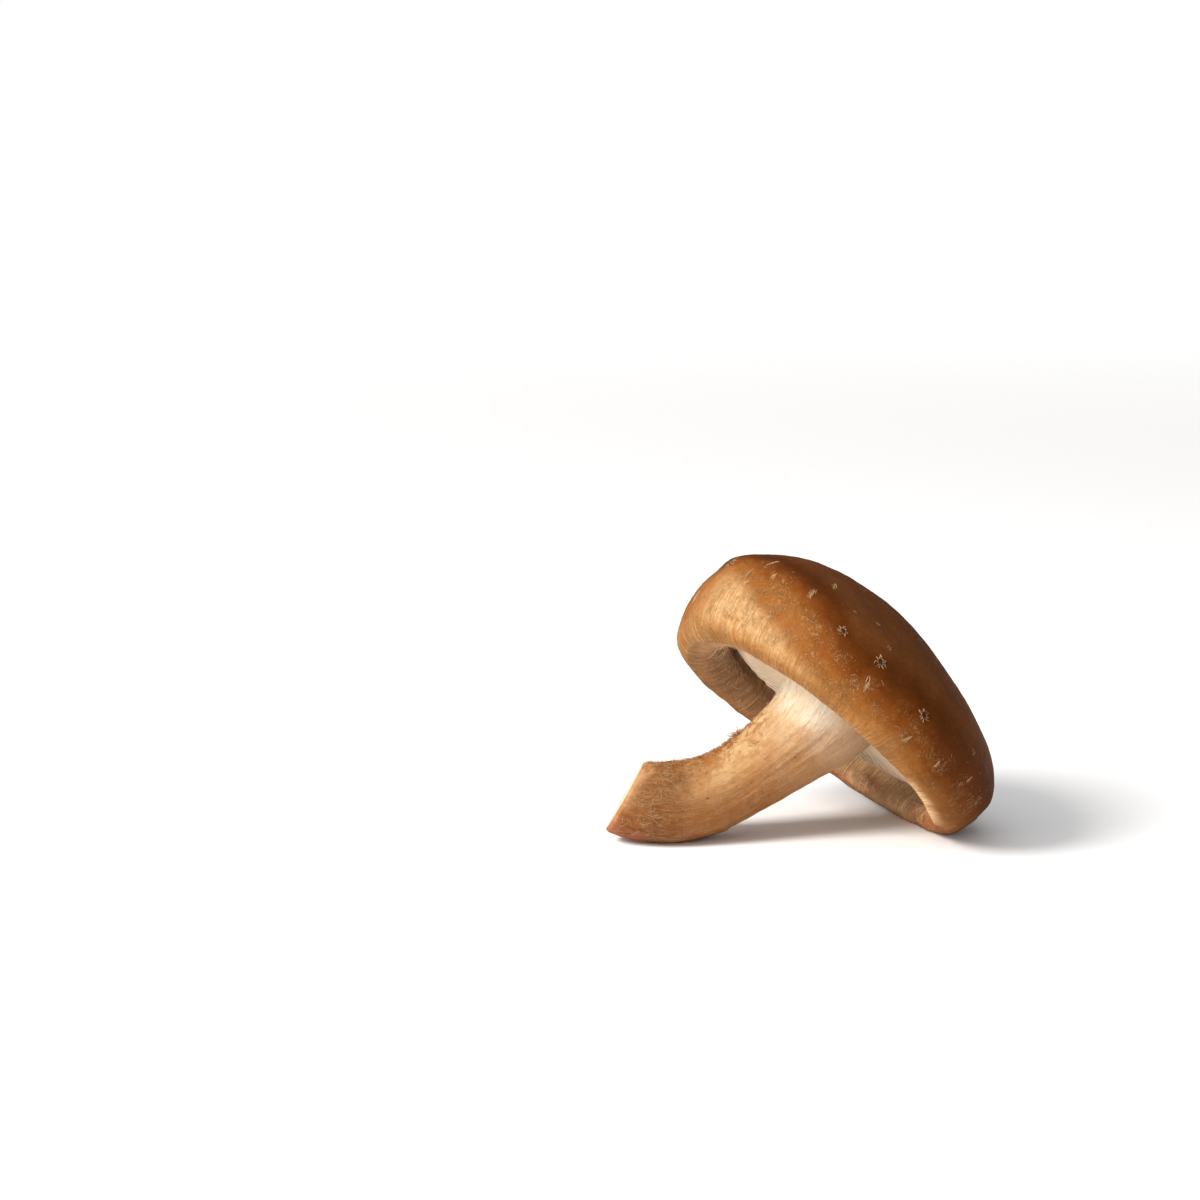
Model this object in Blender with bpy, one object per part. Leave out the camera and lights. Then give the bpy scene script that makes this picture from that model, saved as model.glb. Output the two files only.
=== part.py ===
"""A picked shiitake mushroom, lying on the foot of its stem and on the edge of its cap.

It grew as one piece, so it is one object: a thick domed cap with a rolled-in, wavy margin, thin gills
under the cap in three lengths, and a bent stem that widens into the cap and is cut off at a slant.
Lengths are in metres and +Z is up. The mushroom rests at z = 0, under the middle of its outline.
"""

import math
import random

import bmesh
import bpy
from mathutils import Matrix, Vector

MM = 0.001
NAME = "shiitake_mushroom"
SURFACE = 0.0  # height of what the mushroom lies on

# The sizes below are set out from a corner of the outline, under whose middle the origin is moved at the end.

# Cap: where its margin is centred, and how it leans. Its own frame has X towards its lowest side, Z out of
# the top of the dome, and angles counted from X, anticlockwise seen from the top.
CAP_CENTRE = Vector((44.9, 5.6, 21.35)) * MM
CAP_LEAN = math.radians(42.0)  # the dome's axis from the vertical
CAP_BEARING = math.radians(25.0)  # the way it leans, from +X towards +Y
CAP_SECTORS = 60

# Half of the cap's section, as radius, height and how far the margin's waves reach (0 to 1).
CAP_OUTER = (
    (0.0, 30.9, 0.0),
    (7.0, 30.4, 0.0),
    (14.0, 28.9, 0.0),
    (21.0, 26.4, 0.0),
    (28.0, 22.8, 0.05),
    (33.5, 19.1, 0.15),
    (36.3, 15.1, 0.3),
    (37.9, 10.8, 0.5),
    (37.2, 5.6, 0.75),
    (35.2, 1.6, 0.95),
    (31.8, 0.0, 1.0),
)
CAP_INNER = (
    (31.8, 0.0, 1.0),
    (29.8, 0.8, 0.7),
    (29.0, 2.7, 0.15),
    (29.5, 4.9, 0.1),
    (29.8, 7.2, 0.1),
    (29.2, 9.4, 0.1),
    (27.4, 10.8, 0.0),
)
# How much further in the margin's lip is rolled, at equal steps round the cap.
LIP_ROLL = [x * MM for x in (0.0, 0.2, 1.0, 2.6, 3.0, 1.6, 0.4, 0.0)]
LIP = Vector(CAP_INNER[2]) * MM
LIP_REACH = 5.0 * MM
OUTER_RINGS = 14
INNER_RINGS = 6
# The flesh that the gills hang from, as radius and height, from their outer ends to the middle.
GILL_BED = ((27.4, 10.8), (18.0, 9.9), (0.0, 8.0))

# The margin's rise above its mean height, at equal steps round the cap.
MARGIN_RISE = [x * MM for x in (0.0, 0.2, -1.9, -2.9, 0.6, 1.2, 0.5, -0.8)]
OUT_OF_ROUND = 0.006
OUT_OF_ROUND_TURN = math.radians(-15.0)

# The top of the dome sits to one side of the margin's centre.
APEX_SHIFT = 6.6 * MM
APEX_TURN = math.radians(154.0)
APEX_FROM, APEX_TO = 10.5 * MM, 31.0 * MM

# Gills: thin upright blades in three lengths, set between each other. Each outline gives the free edge as
# radius and height in the cap's frame, from its inner end, in the stem or the flesh, to the margin's wall.
GILL_THICKNESS = 0.62 * MM
LONG_GILLS = 36
LONG_GILL = ((7.5, 6.8), (13.0, 5.1), (24.0, 5.5), (30.4, 8.6))
MIDDLE_GILL = ((14.6, 10.0), (18.0, 5.6), (24.0, 5.6), (30.4, 8.6))
SHORT_GILL = ((20.0, 10.6), (23.6, 6.2), (30.4, 8.6))
GILL_ROOT = 1.2 * MM  # how deep a gill is sunk in the cap
GILL_WANDER = math.radians(0.28)
GILL_SEED = 11

# Stem: its centre line from inside the cap to the cut foot, with its radius at each point.
STEM_PATH = (
    (52.4, 9.6, 32.7, 12.0),
    (48.8, 7.2, 27.7, 11.8),
    (44.7, 5.6, 23.2, 10.5),
    (40.0, 4.6, 19.4, 9.2),
    (33.7, 3.4, 15.1, 8.3),
    (26.7, 1.9, 10.8, 8.0),
    (19.0, 0.3, 8.4, 8.3),
    (11.6, -0.8, 8.4, 8.6),
    (5.2, -0.8, 9.7, 8.0),
)
STEM_SIDES = 26
STEM_RINGS = 16
STEM_OVAL = 0.03  # how much wider than high it is
STEM_FURROW = 0.12 * MM
STEM_FURROWS = 7
CUT_TILT = math.radians(16.0)  # the cut's top leans back towards the cap
CUT_TURN = math.radians(-3.0)  # and its face turns a little to the far side
CUT_REACH = 14.0 * MM  # stretch over which the stem's rings turn to the cut
CUT_ROUNDING = 0.5 * MM

CAP_SKIN = ("cap skin", (0.20, 0.075, 0.03, 1.0), 0.45)
GILL_FLESH = ("gill flesh", (0.74, 0.60, 0.42, 1.0), 0.7)
STEM_SKIN = ("stem skin", (0.62, 0.42, 0.22, 1.0), 0.75)


def clear_scene():
    for item in list(bpy.data.objects):
        bpy.data.objects.remove(item, do_unlink=True)


def smooth_step(low, high, value):
    share = min(max((value - low) / (high - low), 0.0), 1.0)
    return share * share * (3.0 - 2.0 * share)


def curve_point(points, place):
    """Point on the smooth curve through some points, each a vector; place runs from 0 to their count - 1."""
    last = len(points) - 1
    span = min(int(place), last - 1)
    t = place - span
    before = points[max(span - 1, 0)]
    start, end = points[span], points[span + 1]
    after = points[min(span + 2, last)]
    return 0.5 * (
        2.0 * start
        + (end - before) * t
        + (2.0 * before - 5.0 * start + 4.0 * end - after) * t**2
        + (3.0 * start - before - 3.0 * end + after) * t**3
    )


def evenly(points, count, fineness=400):
    """The same curve at count + 1 points, equally far apart."""
    last = len(points) - 1
    fine = [curve_point(points, last * k / fineness) for k in range(fineness + 1)]
    travelled = [0.0]
    for a, b in zip(fine, fine[1:]):
        travelled.append(travelled[-1] + (b - a).length)
    picked, k = [fine[0]], 0
    for n in range(1, count):
        goal = travelled[-1] * n / count
        while travelled[k + 1] < goal:
            k += 1
        share = (goal - travelled[k]) / (travelled[k + 1] - travelled[k])
        picked.append(fine[k].lerp(fine[k + 1], share))
    return picked + [fine[-1]]


def round_wave(values, angle):
    """A smooth closed wave through values set at equal steps round a circle."""
    count = len(values)
    place = (angle / math.tau * count) % count
    k = int(place)
    t = place - k
    p, a, b, q = (values[(k + step) % count] for step in (-1, 0, 1, 2))
    return a + 0.5 * t * (b - p + t * (2 * p - 5 * a + 4 * b - q + t * (3 * (a - b) + q - p)))


def height_at(table, radius):
    """Height at a radius on a table of (radius, height) pairs in millimetres, straight between them."""
    table = sorted(table)
    for (r0, h0), (r1, h1) in zip(table, table[1:]):
        if radius <= r1 * MM:
            break
    share = (radius / MM - r0) / (r1 - r0)
    return (h0 + (h1 - h0) * min(max(share, 0.0), 1.0)) * MM


def cap_frame():
    turn = Matrix.Rotation(CAP_BEARING, 4, "Z") @ Matrix.Rotation(CAP_LEAN, 4, "Y")
    return Matrix.Translation(CAP_CENTRE) @ turn


def cap_point(radius, height, follow, angle):
    """Where a point of the cap's section comes in the cap's frame, with the cap's own unevenness."""
    radius *= 1.0 + OUT_OF_ROUND * math.cos(2.0 * (angle - OUT_OF_ROUND_TURN))
    height += follow * round_wave(MARGIN_RISE, angle)
    shift = APEX_SHIFT * smooth_step(APEX_FROM, APEX_TO, height)
    return Vector(
        (
            radius * math.cos(angle) + shift * math.cos(APEX_TURN),
            radius * math.sin(angle) + shift * math.sin(APEX_TURN),
            height,
        )
    )


def skin_rings(bm, rings, start, end):
    """Closes a stack of equal rings of points, from the lone point start to the lone point end."""
    rows = [[bm.verts.new(p) for p in ring] for ring in rings]
    sides = len(rows[0])
    first, last = bm.verts.new(start), bm.verts.new(end)
    for j in range(sides):
        k = (j + 1) % sides
        bm.faces.new((first, rows[0][j], rows[0][k]))
        for upper, lower in zip(rows, rows[1:]):
            bm.faces.new((upper[j], lower[j], lower[k], upper[k]))
        bm.faces.new((last, rows[-1][k], rows[-1][j]))


def add_object(name, bm, finish):
    bmesh.ops.triangulate(bm, faces=bm.faces, quad_method="SHORT_EDGE")
    bmesh.ops.recalc_face_normals(bm, faces=bm.faces)
    mesh = bpy.data.meshes.new(name)
    bm.to_mesh(mesh)
    bm.free()
    mesh.materials.append(finish)
    item = bpy.data.objects.new(name, mesh)
    bpy.context.collection.objects.link(item)
    return item


def lip_share(row):
    """How far a point inside the margin follows the roll of the lip, from 0 to 1."""
    return smooth_step(LIP_REACH, 0.0, math.hypot(row.x - LIP.x, row.y - LIP.y))


def make_cap(finish):
    outer = evenly([Vector(row) * MM for row in CAP_OUTER], OUTER_RINGS)
    inner = evenly([Vector(row) * MM for row in CAP_INNER], INNER_RINGS)
    bed = [Vector((radius, height, 0.0)) * MM for radius, height in GILL_BED[1:]]
    rings = []
    for row in outer[1:] + inner[1:] + bed[:-1]:
        ring = []
        for j in range(CAP_SECTORS):
            angle = math.tau * j / CAP_SECTORS
            roll = round_wave(LIP_ROLL, angle) * lip_share(row)
            ring.append(cap_point(row.x - roll, row.y + roll / 2.0, row.z / MM, angle))
        rings.append(ring)
    top, bottom = outer[0], bed[-1]
    bm = bmesh.new()
    skin_rings(bm, rings, cap_point(0, top.y, 0, 0), cap_point(0, bottom.y, 0, 0))
    bmesh.ops.transform(bm, matrix=cap_frame(), verts=bm.verts)
    return add_object(NAME, bm, finish)


def make_gill(outline, angle, finish):
    """One upright blade along a radius of the cap, rooted in the flesh above it."""
    across = Vector((-math.sin(angle), math.cos(angle), 0.0)) * GILL_THICKNESS / 2.0
    bm = bmesh.new()
    left, right = [], []
    for radius, edge in outline:
        root = height_at(GILL_BED, radius * MM) + GILL_ROOT
        for height in (edge * MM, root):
            spot = cap_point(radius * MM, height, 0.0, angle)
            left.append(bm.verts.new(spot - across))
            right.append(bm.verts.new(spot + across))
    last = 2 * (len(outline) - 1)
    for a in range(0, last, 2):
        b, c, d = a + 2, a + 3, a + 1
        bm.faces.new((left[a], left[b], left[c], left[d]))
        bm.faces.new((right[a], right[d], right[c], right[b]))
        bm.faces.new((left[a], right[a], right[b], left[b]))
        bm.faces.new((left[d], left[c], right[c], right[d]))
    bm.faces.new((left[0], left[1], right[1], right[0]))
    bm.faces.new((left[last], right[last], right[last + 1], left[last + 1]))
    bmesh.ops.transform(bm, matrix=cap_frame(), verts=bm.verts)
    return add_object("gill", bm, finish)


def make_gills(finish):
    """Long gills, a middle one between each two, and short ones in the gaps that are left."""
    draw = random.Random(GILL_SEED)
    order = (LONG_GILL, SHORT_GILL, MIDDLE_GILL, SHORT_GILL)
    step = math.tau / (LONG_GILLS * len(order))
    gills = []
    for k in range(LONG_GILLS * len(order)):
        angle = k * step + draw.uniform(-GILL_WANDER, GILL_WANDER)
        gills.append(make_gill(order[k % len(order)], angle, finish))
    return gills


def cut_normal(tangent):
    """Which way the cut foot faces."""
    tilt = Matrix.Rotation(CUT_TILT, 3, "Y")
    turn = Matrix.Rotation(CUT_TURN, 3, "Z")
    return (turn @ tilt @ tangent).normalized()


def make_stem(finish):
    path = evenly([Vector(row) * MM for row in STEM_PATH], STEM_RINGS)
    centres = [row.to_3d() for row in path]
    foot = centres[-1]
    face = cut_normal((centres[-1] - centres[-2]).normalized())
    rings = []
    for k, row in enumerate(path):
        ahead, behind = centres[min(k + 1, STEM_RINGS)], centres[max(k - 1, 0)]
        tangent = (ahead - behind).normalized()
        side = (Vector((0, 1, 0)) - tangent * tangent.y).normalized()
        rise = side.cross(tangent)
        turned = 1.0 - smooth_step(0.0, CUT_REACH, (row.to_3d() - foot).length)
        plane = tangent.lerp(face, turned).normalized()
        rings.append(stem_ring(row, tangent, side, rise, plane))
    rim = [foot + (p - foot) * (1.0 - CUT_ROUNDING / row.w) for p in rings[-1]]
    back = tangent * CUT_ROUNDING
    rings[-1] = [p - back for p in rings[-1]]
    bm = bmesh.new()
    skin_rings(bm, rings + [rim], centres[0], foot)
    return add_object("stem", bm, finish)


def stem_ring(row, tangent, side, rise, plane):
    """Points round the stem where it crosses a plane through its centre line."""
    centre, ring = row.to_3d(), []
    for j in range(STEM_SIDES):
        angle = math.tau * j / STEM_SIDES
        radius = row.w + STEM_FURROW * math.sin(STEM_FURROWS * angle)
        out = side * math.cos(angle) * (1.0 + STEM_OVAL) + rise * math.sin(angle)
        spot = out * radius
        ring.append(centre + spot - tangent * (spot.dot(plane) / tangent.dot(plane)))
    return ring


def fuse(body, pieces):
    """Joins the pieces to the body in one union and leaves the body alone in the scene."""
    group = bpy.data.collections.new("to fuse")
    bpy.context.scene.collection.children.link(group)
    for piece in pieces:
        group.objects.link(piece)
    union = body.modifiers.new("fuse", "BOOLEAN")
    union.operation = "UNION"
    union.operand_type = "COLLECTION"
    union.collection = group
    union.solver = "MANIFOLD"
    union.material_mode = "TRANSFER"
    seen = body.evaluated_get(bpy.context.evaluated_depsgraph_get())
    joined = bpy.data.meshes.new_from_object(seen)
    body.modifiers.clear()
    body.data = joined
    for piece in pieces:
        bpy.data.objects.remove(piece, do_unlink=True)
    bpy.data.collections.remove(group)


def rest_on_surface(body):
    """Presses flat what would reach below the surface, then moves the origin under the middle."""
    bm = bmesh.new()
    bm.from_mesh(body.data)
    parts = bm.verts[:] + bm.edges[:] + bm.faces[:]
    level = Vector((0.0, 0.0, SURFACE))
    bmesh.ops.bisect_plane(bm, geom=parts, plane_co=level, plane_no=(0.0, 0.0, -1.0), clear_outer=True)
    rims = [edge for edge in bm.edges if edge.is_boundary]
    flats = bmesh.ops.holes_fill(bm, edges=rims)["faces"]
    bmesh.ops.triangulate(bm, faces=flats)
    bm.to_mesh(body.data)
    bm.free()
    spots = [vertex.co for vertex in body.data.vertices]
    middle_x = (min(p.x for p in spots) + max(p.x for p in spots)) / 2.0
    middle_y = (min(p.y for p in spots) + max(p.y for p in spots)) / 2.0
    body.data.transform(Matrix.Translation((-middle_x, -middle_y, 0.0)))


def make_finish(name, colour, roughness):
    finish = bpy.data.materials.new(name)
    finish.use_nodes = True
    shader = finish.node_tree.nodes["Principled BSDF"]
    shader.inputs["Base Color"].default_value = colour
    shader.inputs["Roughness"].default_value = roughness
    shader.inputs["Metallic"].default_value = 0.0
    return finish


def main():
    clear_scene()
    cap = make_cap(make_finish(*CAP_SKIN))
    gills = make_gills(make_finish(*GILL_FLESH))
    stem = make_stem(make_finish(*STEM_SKIN))
    fuse(cap, gills + [stem])
    rest_on_surface(cap)
    cap.data.shade_smooth()
    cap.data.set_sharp_from_angle(angle=math.radians(35.0))


main()
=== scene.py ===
"""A shiitake mushroom, finished to be looked at.

It lies on the foot of its stem and on the edge of its cap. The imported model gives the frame, the size and
the place; this script puts finer pieces of the same form where its one solid is. Those are the cap with its
rolled-in margin, the gills, the stem with its cut foot, and the fine things that the solid leaves out: the
fuzz inside the margin, the torn threads of the veil, pale flecks and star-shaped scars on the cap, and loose
fibres on the stem. Lengths are in metres unless a name or a comment says millimetres.
"""

import logging
import math
import random
from bisect import bisect_right
from dataclasses import dataclass, replace
from enum import Enum
from typing import Sequence

import bmesh
import bpy
from bmesh.types import BMesh, BMVert
from bpy.types import ID, Material, Mesh, Node, NodeTree, Object
from bpy.types import NodeOutputs as Outputs, NodeSocket as Socket
from mathutils import Matrix, Vector, noise

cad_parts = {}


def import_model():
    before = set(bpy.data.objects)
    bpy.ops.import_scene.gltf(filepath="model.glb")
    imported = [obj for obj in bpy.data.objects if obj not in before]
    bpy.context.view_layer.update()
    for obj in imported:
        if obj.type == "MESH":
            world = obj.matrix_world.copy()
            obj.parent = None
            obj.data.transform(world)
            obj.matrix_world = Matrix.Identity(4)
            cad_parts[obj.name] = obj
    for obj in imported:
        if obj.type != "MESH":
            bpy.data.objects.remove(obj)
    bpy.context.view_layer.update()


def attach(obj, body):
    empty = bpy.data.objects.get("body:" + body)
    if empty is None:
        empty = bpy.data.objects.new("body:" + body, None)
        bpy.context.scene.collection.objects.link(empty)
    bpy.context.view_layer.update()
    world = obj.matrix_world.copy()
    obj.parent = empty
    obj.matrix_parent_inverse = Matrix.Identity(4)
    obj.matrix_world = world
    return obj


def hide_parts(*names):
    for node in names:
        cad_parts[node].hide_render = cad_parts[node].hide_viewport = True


log = logging.getLogger("mushroom")

MM = 0.001
NODE = "shiitake_mushroom"
BODY = "root"
# The solid is set out from a corner and then moved by this, so that its origin is under its middle.
SET_OUT_SHIFT = Vector((-41.8295, -8.2844, 0.0)) * MM


# Shared geometry


def smooth_step(low: float, high: float, value: float) -> float:
    """Eases from 0 at low to 1 at high.

    Args:
        low: Where the result is 0.
        high: Where the result is 1, above or below low.
        value: The number to place between them.

    Returns:
        The eased share, from 0 to 1.
    """
    share = min(max((value - low) / (high - low), 0.0), 1.0)
    return share * share * (3.0 - 2.0 * share)


def curve_point(points: Sequence[Vector], place: float) -> Vector:
    """Point on the smooth curve through some points.

    Args:
        points: The points that the curve passes through.
        place: From 0 at the first point to their count less one at the last.

    Returns:
        The point there, with as many numbers as the given ones.
    """
    last = len(points) - 1
    span = min(int(place), last - 1)
    t = place - span
    before, start = points[max(span - 1, 0)], points[span]
    end, after = points[span + 1], points[min(span + 2, last)]
    return 0.5 * (
        2.0 * start
        + (end - before) * t
        + (2.0 * before - 5.0 * start + 4.0 * end - after) * t**2
        + (3.0 * start - before - 3.0 * end + after) * t**3
    )


def evenly(points: Sequence[Vector], count: int, fineness: int = 1200) -> list[Vector]:
    """Spaces points equally along the smooth curve through the given ones.

    Args:
        points: The points that the curve passes through.
        count: Number of steps to split the curve into.
        fineness: Number of short chords that its length is measured along.

    Returns:
        One point more than the number of steps.
    """
    last = len(points) - 1
    fine = [curve_point(points, last * k / fineness) for k in range(fineness + 1)]
    travelled = [0.0]
    for a, b in zip(fine, fine[1:]):
        travelled.append(travelled[-1] + (b - a).length)
    picked, k = [fine[0]], 0
    for n in range(1, count):
        goal = travelled[-1] * n / count
        while travelled[k + 1] < goal:
            k += 1
        share = (goal - travelled[k]) / (travelled[k + 1] - travelled[k])
        picked.append(fine[k].lerp(fine[k + 1], share))
    return picked + [fine[-1]]


class SurfaceGrid:
    """Points of a built surface in closed rows, so that small things can be laid on it."""

    share_step = 0.006
    angle_step = 0.02

    def __init__(self, rows: Sequence[Sequence[Vector]], shares: Sequence[float]) -> None:
        """Keeps the rows.

        Args:
            rows: World points of each row, at equal angles round it.
            shares: How far along the surface each row is, in rising order.
        """
        self.rows = rows
        self.shares = shares

    def point(self, share: float, angle: float) -> Vector:
        """World point at a share of the way along and an angle round, in radians."""
        k = min(max(bisect_right(self.shares, share) - 1, 0), len(self.rows) - 2)
        t = min(max((share - self.shares[k]) / (self.shares[k + 1] - self.shares[k]), 0.0), 1.0)
        count = len(self.rows[0])
        place = (angle / math.tau * count) % count
        j = int(place) % count
        after = (j + 1) % count
        u = place - int(place)
        upper = self.rows[k][j].lerp(self.rows[k][after], u)
        lower = self.rows[k + 1][j].lerp(self.rows[k + 1][after], u)
        return upper.lerp(lower, t)

    def axes(self, share: float, angle: float) -> tuple[Vector, Vector, Vector, Vector]:
        """Point, outward normal, and the rates at which it moves with share and with angle."""
        ds, da = self.share_step, self.angle_step
        along = (self.point(share + ds, angle) - self.point(share - ds, angle)) / (2.0 * ds)
        about = (self.point(share, angle + da) - self.point(share, angle - da)) / (2.0 * da)
        normal = along.cross(about).normalized()
        return self.point(share, angle), normal, along, about

    def beside(self, share: float, angle: float, heading: float, away: float) -> tuple[float, float]:
        """Share and angle of a point a short distance away.

        Args:
            share: How far along the start is.
            angle: How far round the start is.
            heading: The way to go, from 0 round the surface to a quarter turn along it.
            away: The distance, in metres.

        Returns:
            The new share and angle.
        """
        _, _, along, about = self.axes(share, angle)
        return (
            share + away * math.sin(heading) / max(along.length, 1.0 * MM),
            angle + away * math.cos(heading) / max(about.length, 1.0 * MM),
        )


def round_wave(values: Sequence[float], angle: float) -> float:
    """Reads a smooth closed wave at an angle.

    Args:
        values: Its heights at equal steps round a circle.
        angle: Where to read it, in radians.

    Returns:
        The height there.
    """
    count = len(values)
    place = (angle / math.tau * count) % count
    k = int(place)
    t = place - k
    p, a, b, q = (values[(k + step) % count] for step in (-1, 0, 1, 2))
    return a + 0.5 * t * (b - p + t * (2 * p - 5 * a + 4 * b - q + t * (3 * (a - b) + q - p)))


def wobble(place: Vector, size: float, seed: float = 0.0) -> float:
    """Smooth random height from about -1 to 1.

    Args:
        place: Where to read it.
        size: How far apart its bumps are, in the units of place.
        seed: Shifts the pattern to another part of itself.

    Returns:
        The height there.
    """
    return noise.noise(place / size + Vector((seed, -seed, 2.0 * seed)))


def ring_skin(bm: BMesh, rings: Sequence[Sequence[Vector]]) -> list[list[BMVert]]:
    """Lays a skin of four-sided faces over a stack of equal closed rings.

    Args:
        bm: The mesh to add to.
        rings: Points of each ring, in the same order round.

    Returns:
        The vertices of each ring.
    """
    rows = [[bm.verts.new(p) for p in ring] for ring in rings]
    sides = len(rows[0])
    for upper, lower in zip(rows, rows[1:]):
        for j in range(sides):
            k = (j + 1) % sides
            bm.faces.new((upper[j], lower[j], lower[k], upper[k]))
    return rows


def close_end(bm: BMesh, row: Sequence[BMVert], tip: Vector, flip: bool) -> None:
    """Closes an end ring with a fan to one point.

    Args:
        bm: The mesh to add to.
        row: The end ring's vertices.
        tip: Where the fan meets.
        flip: Turns the faces over.
    """
    point = bm.verts.new(tip)
    for j, vertex in enumerate(row):
        after = row[(j + 1) % len(row)]
        bm.faces.new((point, after, vertex) if flip else (point, vertex, after))


def store_vectors(mesh: Mesh, name: str, values: Sequence[Vector]) -> None:
    """Keeps one vector for each vertex as a named attribute."""
    layer = mesh.attributes.new(name, "FLOAT_VECTOR", "POINT")
    layer.data.foreach_set("vector", [x for value in values for x in value])


def store_numbers(mesh: Mesh, name: str, values: Sequence[float]) -> None:
    """Keeps one number for each vertex as a named attribute."""
    layer = mesh.attributes.new(name, "FLOAT", "POINT")
    layer.data.foreach_set("value", list(values))


def new_object(name: str, mesh: Mesh) -> Object:
    """Puts a mesh in the scene as an object at the origin."""
    item = bpy.data.objects.new(name, mesh)
    bpy.context.scene.collection.objects.link(item)
    return item


def mesh_from(bm: BMesh, name: str) -> Mesh:
    """Turns an editable mesh into a smooth-shaded one and frees it."""
    mesh = bpy.data.meshes.new(name)
    bm.to_mesh(mesh)
    bm.free()
    mesh.shade_smooth()
    return mesh


def remove_objects(items: Sequence[Object]) -> None:
    """Takes helper objects and their meshes out of the file."""
    for item in items:
        mesh = item.data
        bpy.data.objects.remove(item, do_unlink=True)
        bpy.data.meshes.remove(mesh)


def triangles(mesh: Mesh) -> int:
    """Number of triangles a mesh comes to."""
    return sum(len(face.vertices) - 2 for face in mesh.polygons)


# Node graphs


Feed = Socket | float | int | bool | Sequence[float] | ID
Colour = tuple[float, float, float]  # linear red, green and blue


class Graph:
    """Builds a node tree from short calls."""

    def __init__(self, tree: NodeTree) -> None:
        """Starts on a tree."""
        self.tree = tree

    def node(self, kind: str, feeds: dict[str | int, Feed] | None = None, **settings: object) -> Node:
        """Adds a node.

        Args:
            kind: Blender's name for the node's type.
            feeds: Input name or number to the socket linked to it, or to its value.
            settings: The node's own properties.

        Returns:
            The new node.
        """
        made = self.tree.nodes.new(kind)
        for name, value in settings.items():
            setattr(made, name, value)
        for key, value in (feeds or {}).items():
            self.feed(made.inputs[key], value)
        return made

    def feed(self, target: Socket, value: Feed) -> None:
        """Links a socket to an input, or sets the input's own value; a colour may leave out its alpha."""
        if isinstance(value, Socket):
            self.tree.links.new(value, target)
        elif target.type == "RGBA" and len(value) == 3:
            target.default_value = (*value, 1.0)
        else:
            target.default_value = value

    def maths(
        self, operation: str, first: Feed, second: Feed = 0.0, third: Feed = 0.0, clamp: bool = False
    ) -> Socket:
        """Result of an operation on up to three numbers."""
        feeds = {0: first, 1: second, 2: third}
        return self.node("ShaderNodeMath", feeds, operation=operation, use_clamp=clamp).outputs[0]

    def product(self, first: Feed, *others: Feed) -> Socket:
        """Product of some numbers."""
        for other in others:
            first = self.maths("MULTIPLY", first, other)
        return first

    def total(self, first: Feed, *others: Feed) -> Socket:
        """Sum of some numbers."""
        for other in others:
            first = self.maths("ADD", first, other)
        return first

    def vector(self, operation: str, first: Feed, second: Feed = (0.0, 0.0, 0.0)) -> Socket:
        """Result of an operation on two vectors; a dot product or a distance comes out as a number."""
        made = self.node("ShaderNodeVectorMath", {0: first, 1: second}, operation=operation)
        return made.outputs["Value" if operation in ("DOT_PRODUCT", "DISTANCE") else "Vector"]

    def scaled(self, vector: Socket, amount: Feed) -> Socket:
        """A vector made longer or shorter."""
        return self.node("ShaderNodeVectorMath", {0: vector, "Scale": amount}, operation="SCALE").outputs[0]

    def joined(self, x: Feed = 0.0, y: Feed = 0.0, z: Feed = 0.0) -> Socket:
        """A vector from its three numbers."""
        return self.node("ShaderNodeCombineXYZ", {0: x, 1: y, 2: z}).outputs[0]

    def span(self, value: Feed, low: Feed, high: Feed, to_low: float = 0.0, to_high: float = 1.0) -> Socket:
        """Eases a number from one range into another, and holds it at the ends."""
        feeds = {"Value": value, "From Min": low, "From Max": high, "To Min": to_low, "To Max": to_high}
        return self.node("ShaderNodeMapRange", feeds, interpolation_type="SMOOTHSTEP").outputs["Result"]

    def noise(
        self, where: Feed, scale: Feed, detail: float = 2.0, rough: float = 0.5, twist: float = 0.0
    ) -> Socket:
        """Smooth random height, from 0 to 1."""
        feeds = {"Vector": where, "Scale": scale, "Detail": detail, "Roughness": rough, "Distortion": twist}
        return self.node("ShaderNodeTexNoise", feeds).outputs[0]

    def swing(self, where: Feed, scale: Feed, detail: float = 2.0, rough: float = 0.5) -> Socket:
        """Smooth random height either side of zero, from -0.5 to 0.5."""
        return self.maths("SUBTRACT", self.noise(where, scale, detail, rough), 0.5)

    def random(self, kind: str, low: Feed, high: Feed, seed: Feed) -> Socket:
        """A random value of a kind, such as FLOAT, for each point or instance."""
        drawn = self.node("FunctionNodeRandomValue", data_type=kind)
        for name, value in (("Min", low), ("Max", high), ("Seed", seed)):
            self.feed(next(s for s in drawn.inputs if s.name == name and s.enabled), value)
        return next(s for s in drawn.outputs if s.enabled)

    def attribute(self, name: str, output: str = "Vector") -> Socket:
        """What a piece keeps under a name, for a finish to read, as a vector or as Fac, a number."""
        return self.node("ShaderNodeAttribute", attribute_name=name).outputs[output]

    def position(self) -> Socket:
        """Place of the point that a finish colours, in metres."""
        return self.node("ShaderNodeTexCoord").outputs["Object"]

    def blend(self, share: Feed, first: Feed, second: Feed, mode: str = "MIX") -> Socket:
        """Mixes two colours by a share from 0 to 1."""
        made = self.node("ShaderNodeMix", data_type="RGBA", blend_type=mode)
        made.clamp_factor = True
        for key, value in (("Factor", share), (6, first), (7, second)):
            self.feed(made.inputs[key], value)
        return made.outputs[2]

    def paint(self, colour: Feed, layer: Feed, *shares: Feed) -> Socket:
        """Lays one colour over another, as thickly as the product of the shares."""
        return self.blend(self.product(*shares), colour, layer)

    def strengthened(self, colour: Feed, factor: Feed) -> Socket:
        """A colour times a number."""
        grey = self.node("ShaderNodeCombineColor", {0: factor, 1: factor, 2: factor}).outputs[0]
        return self.blend(1.0, colour, grey, "MULTIPLY")

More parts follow.
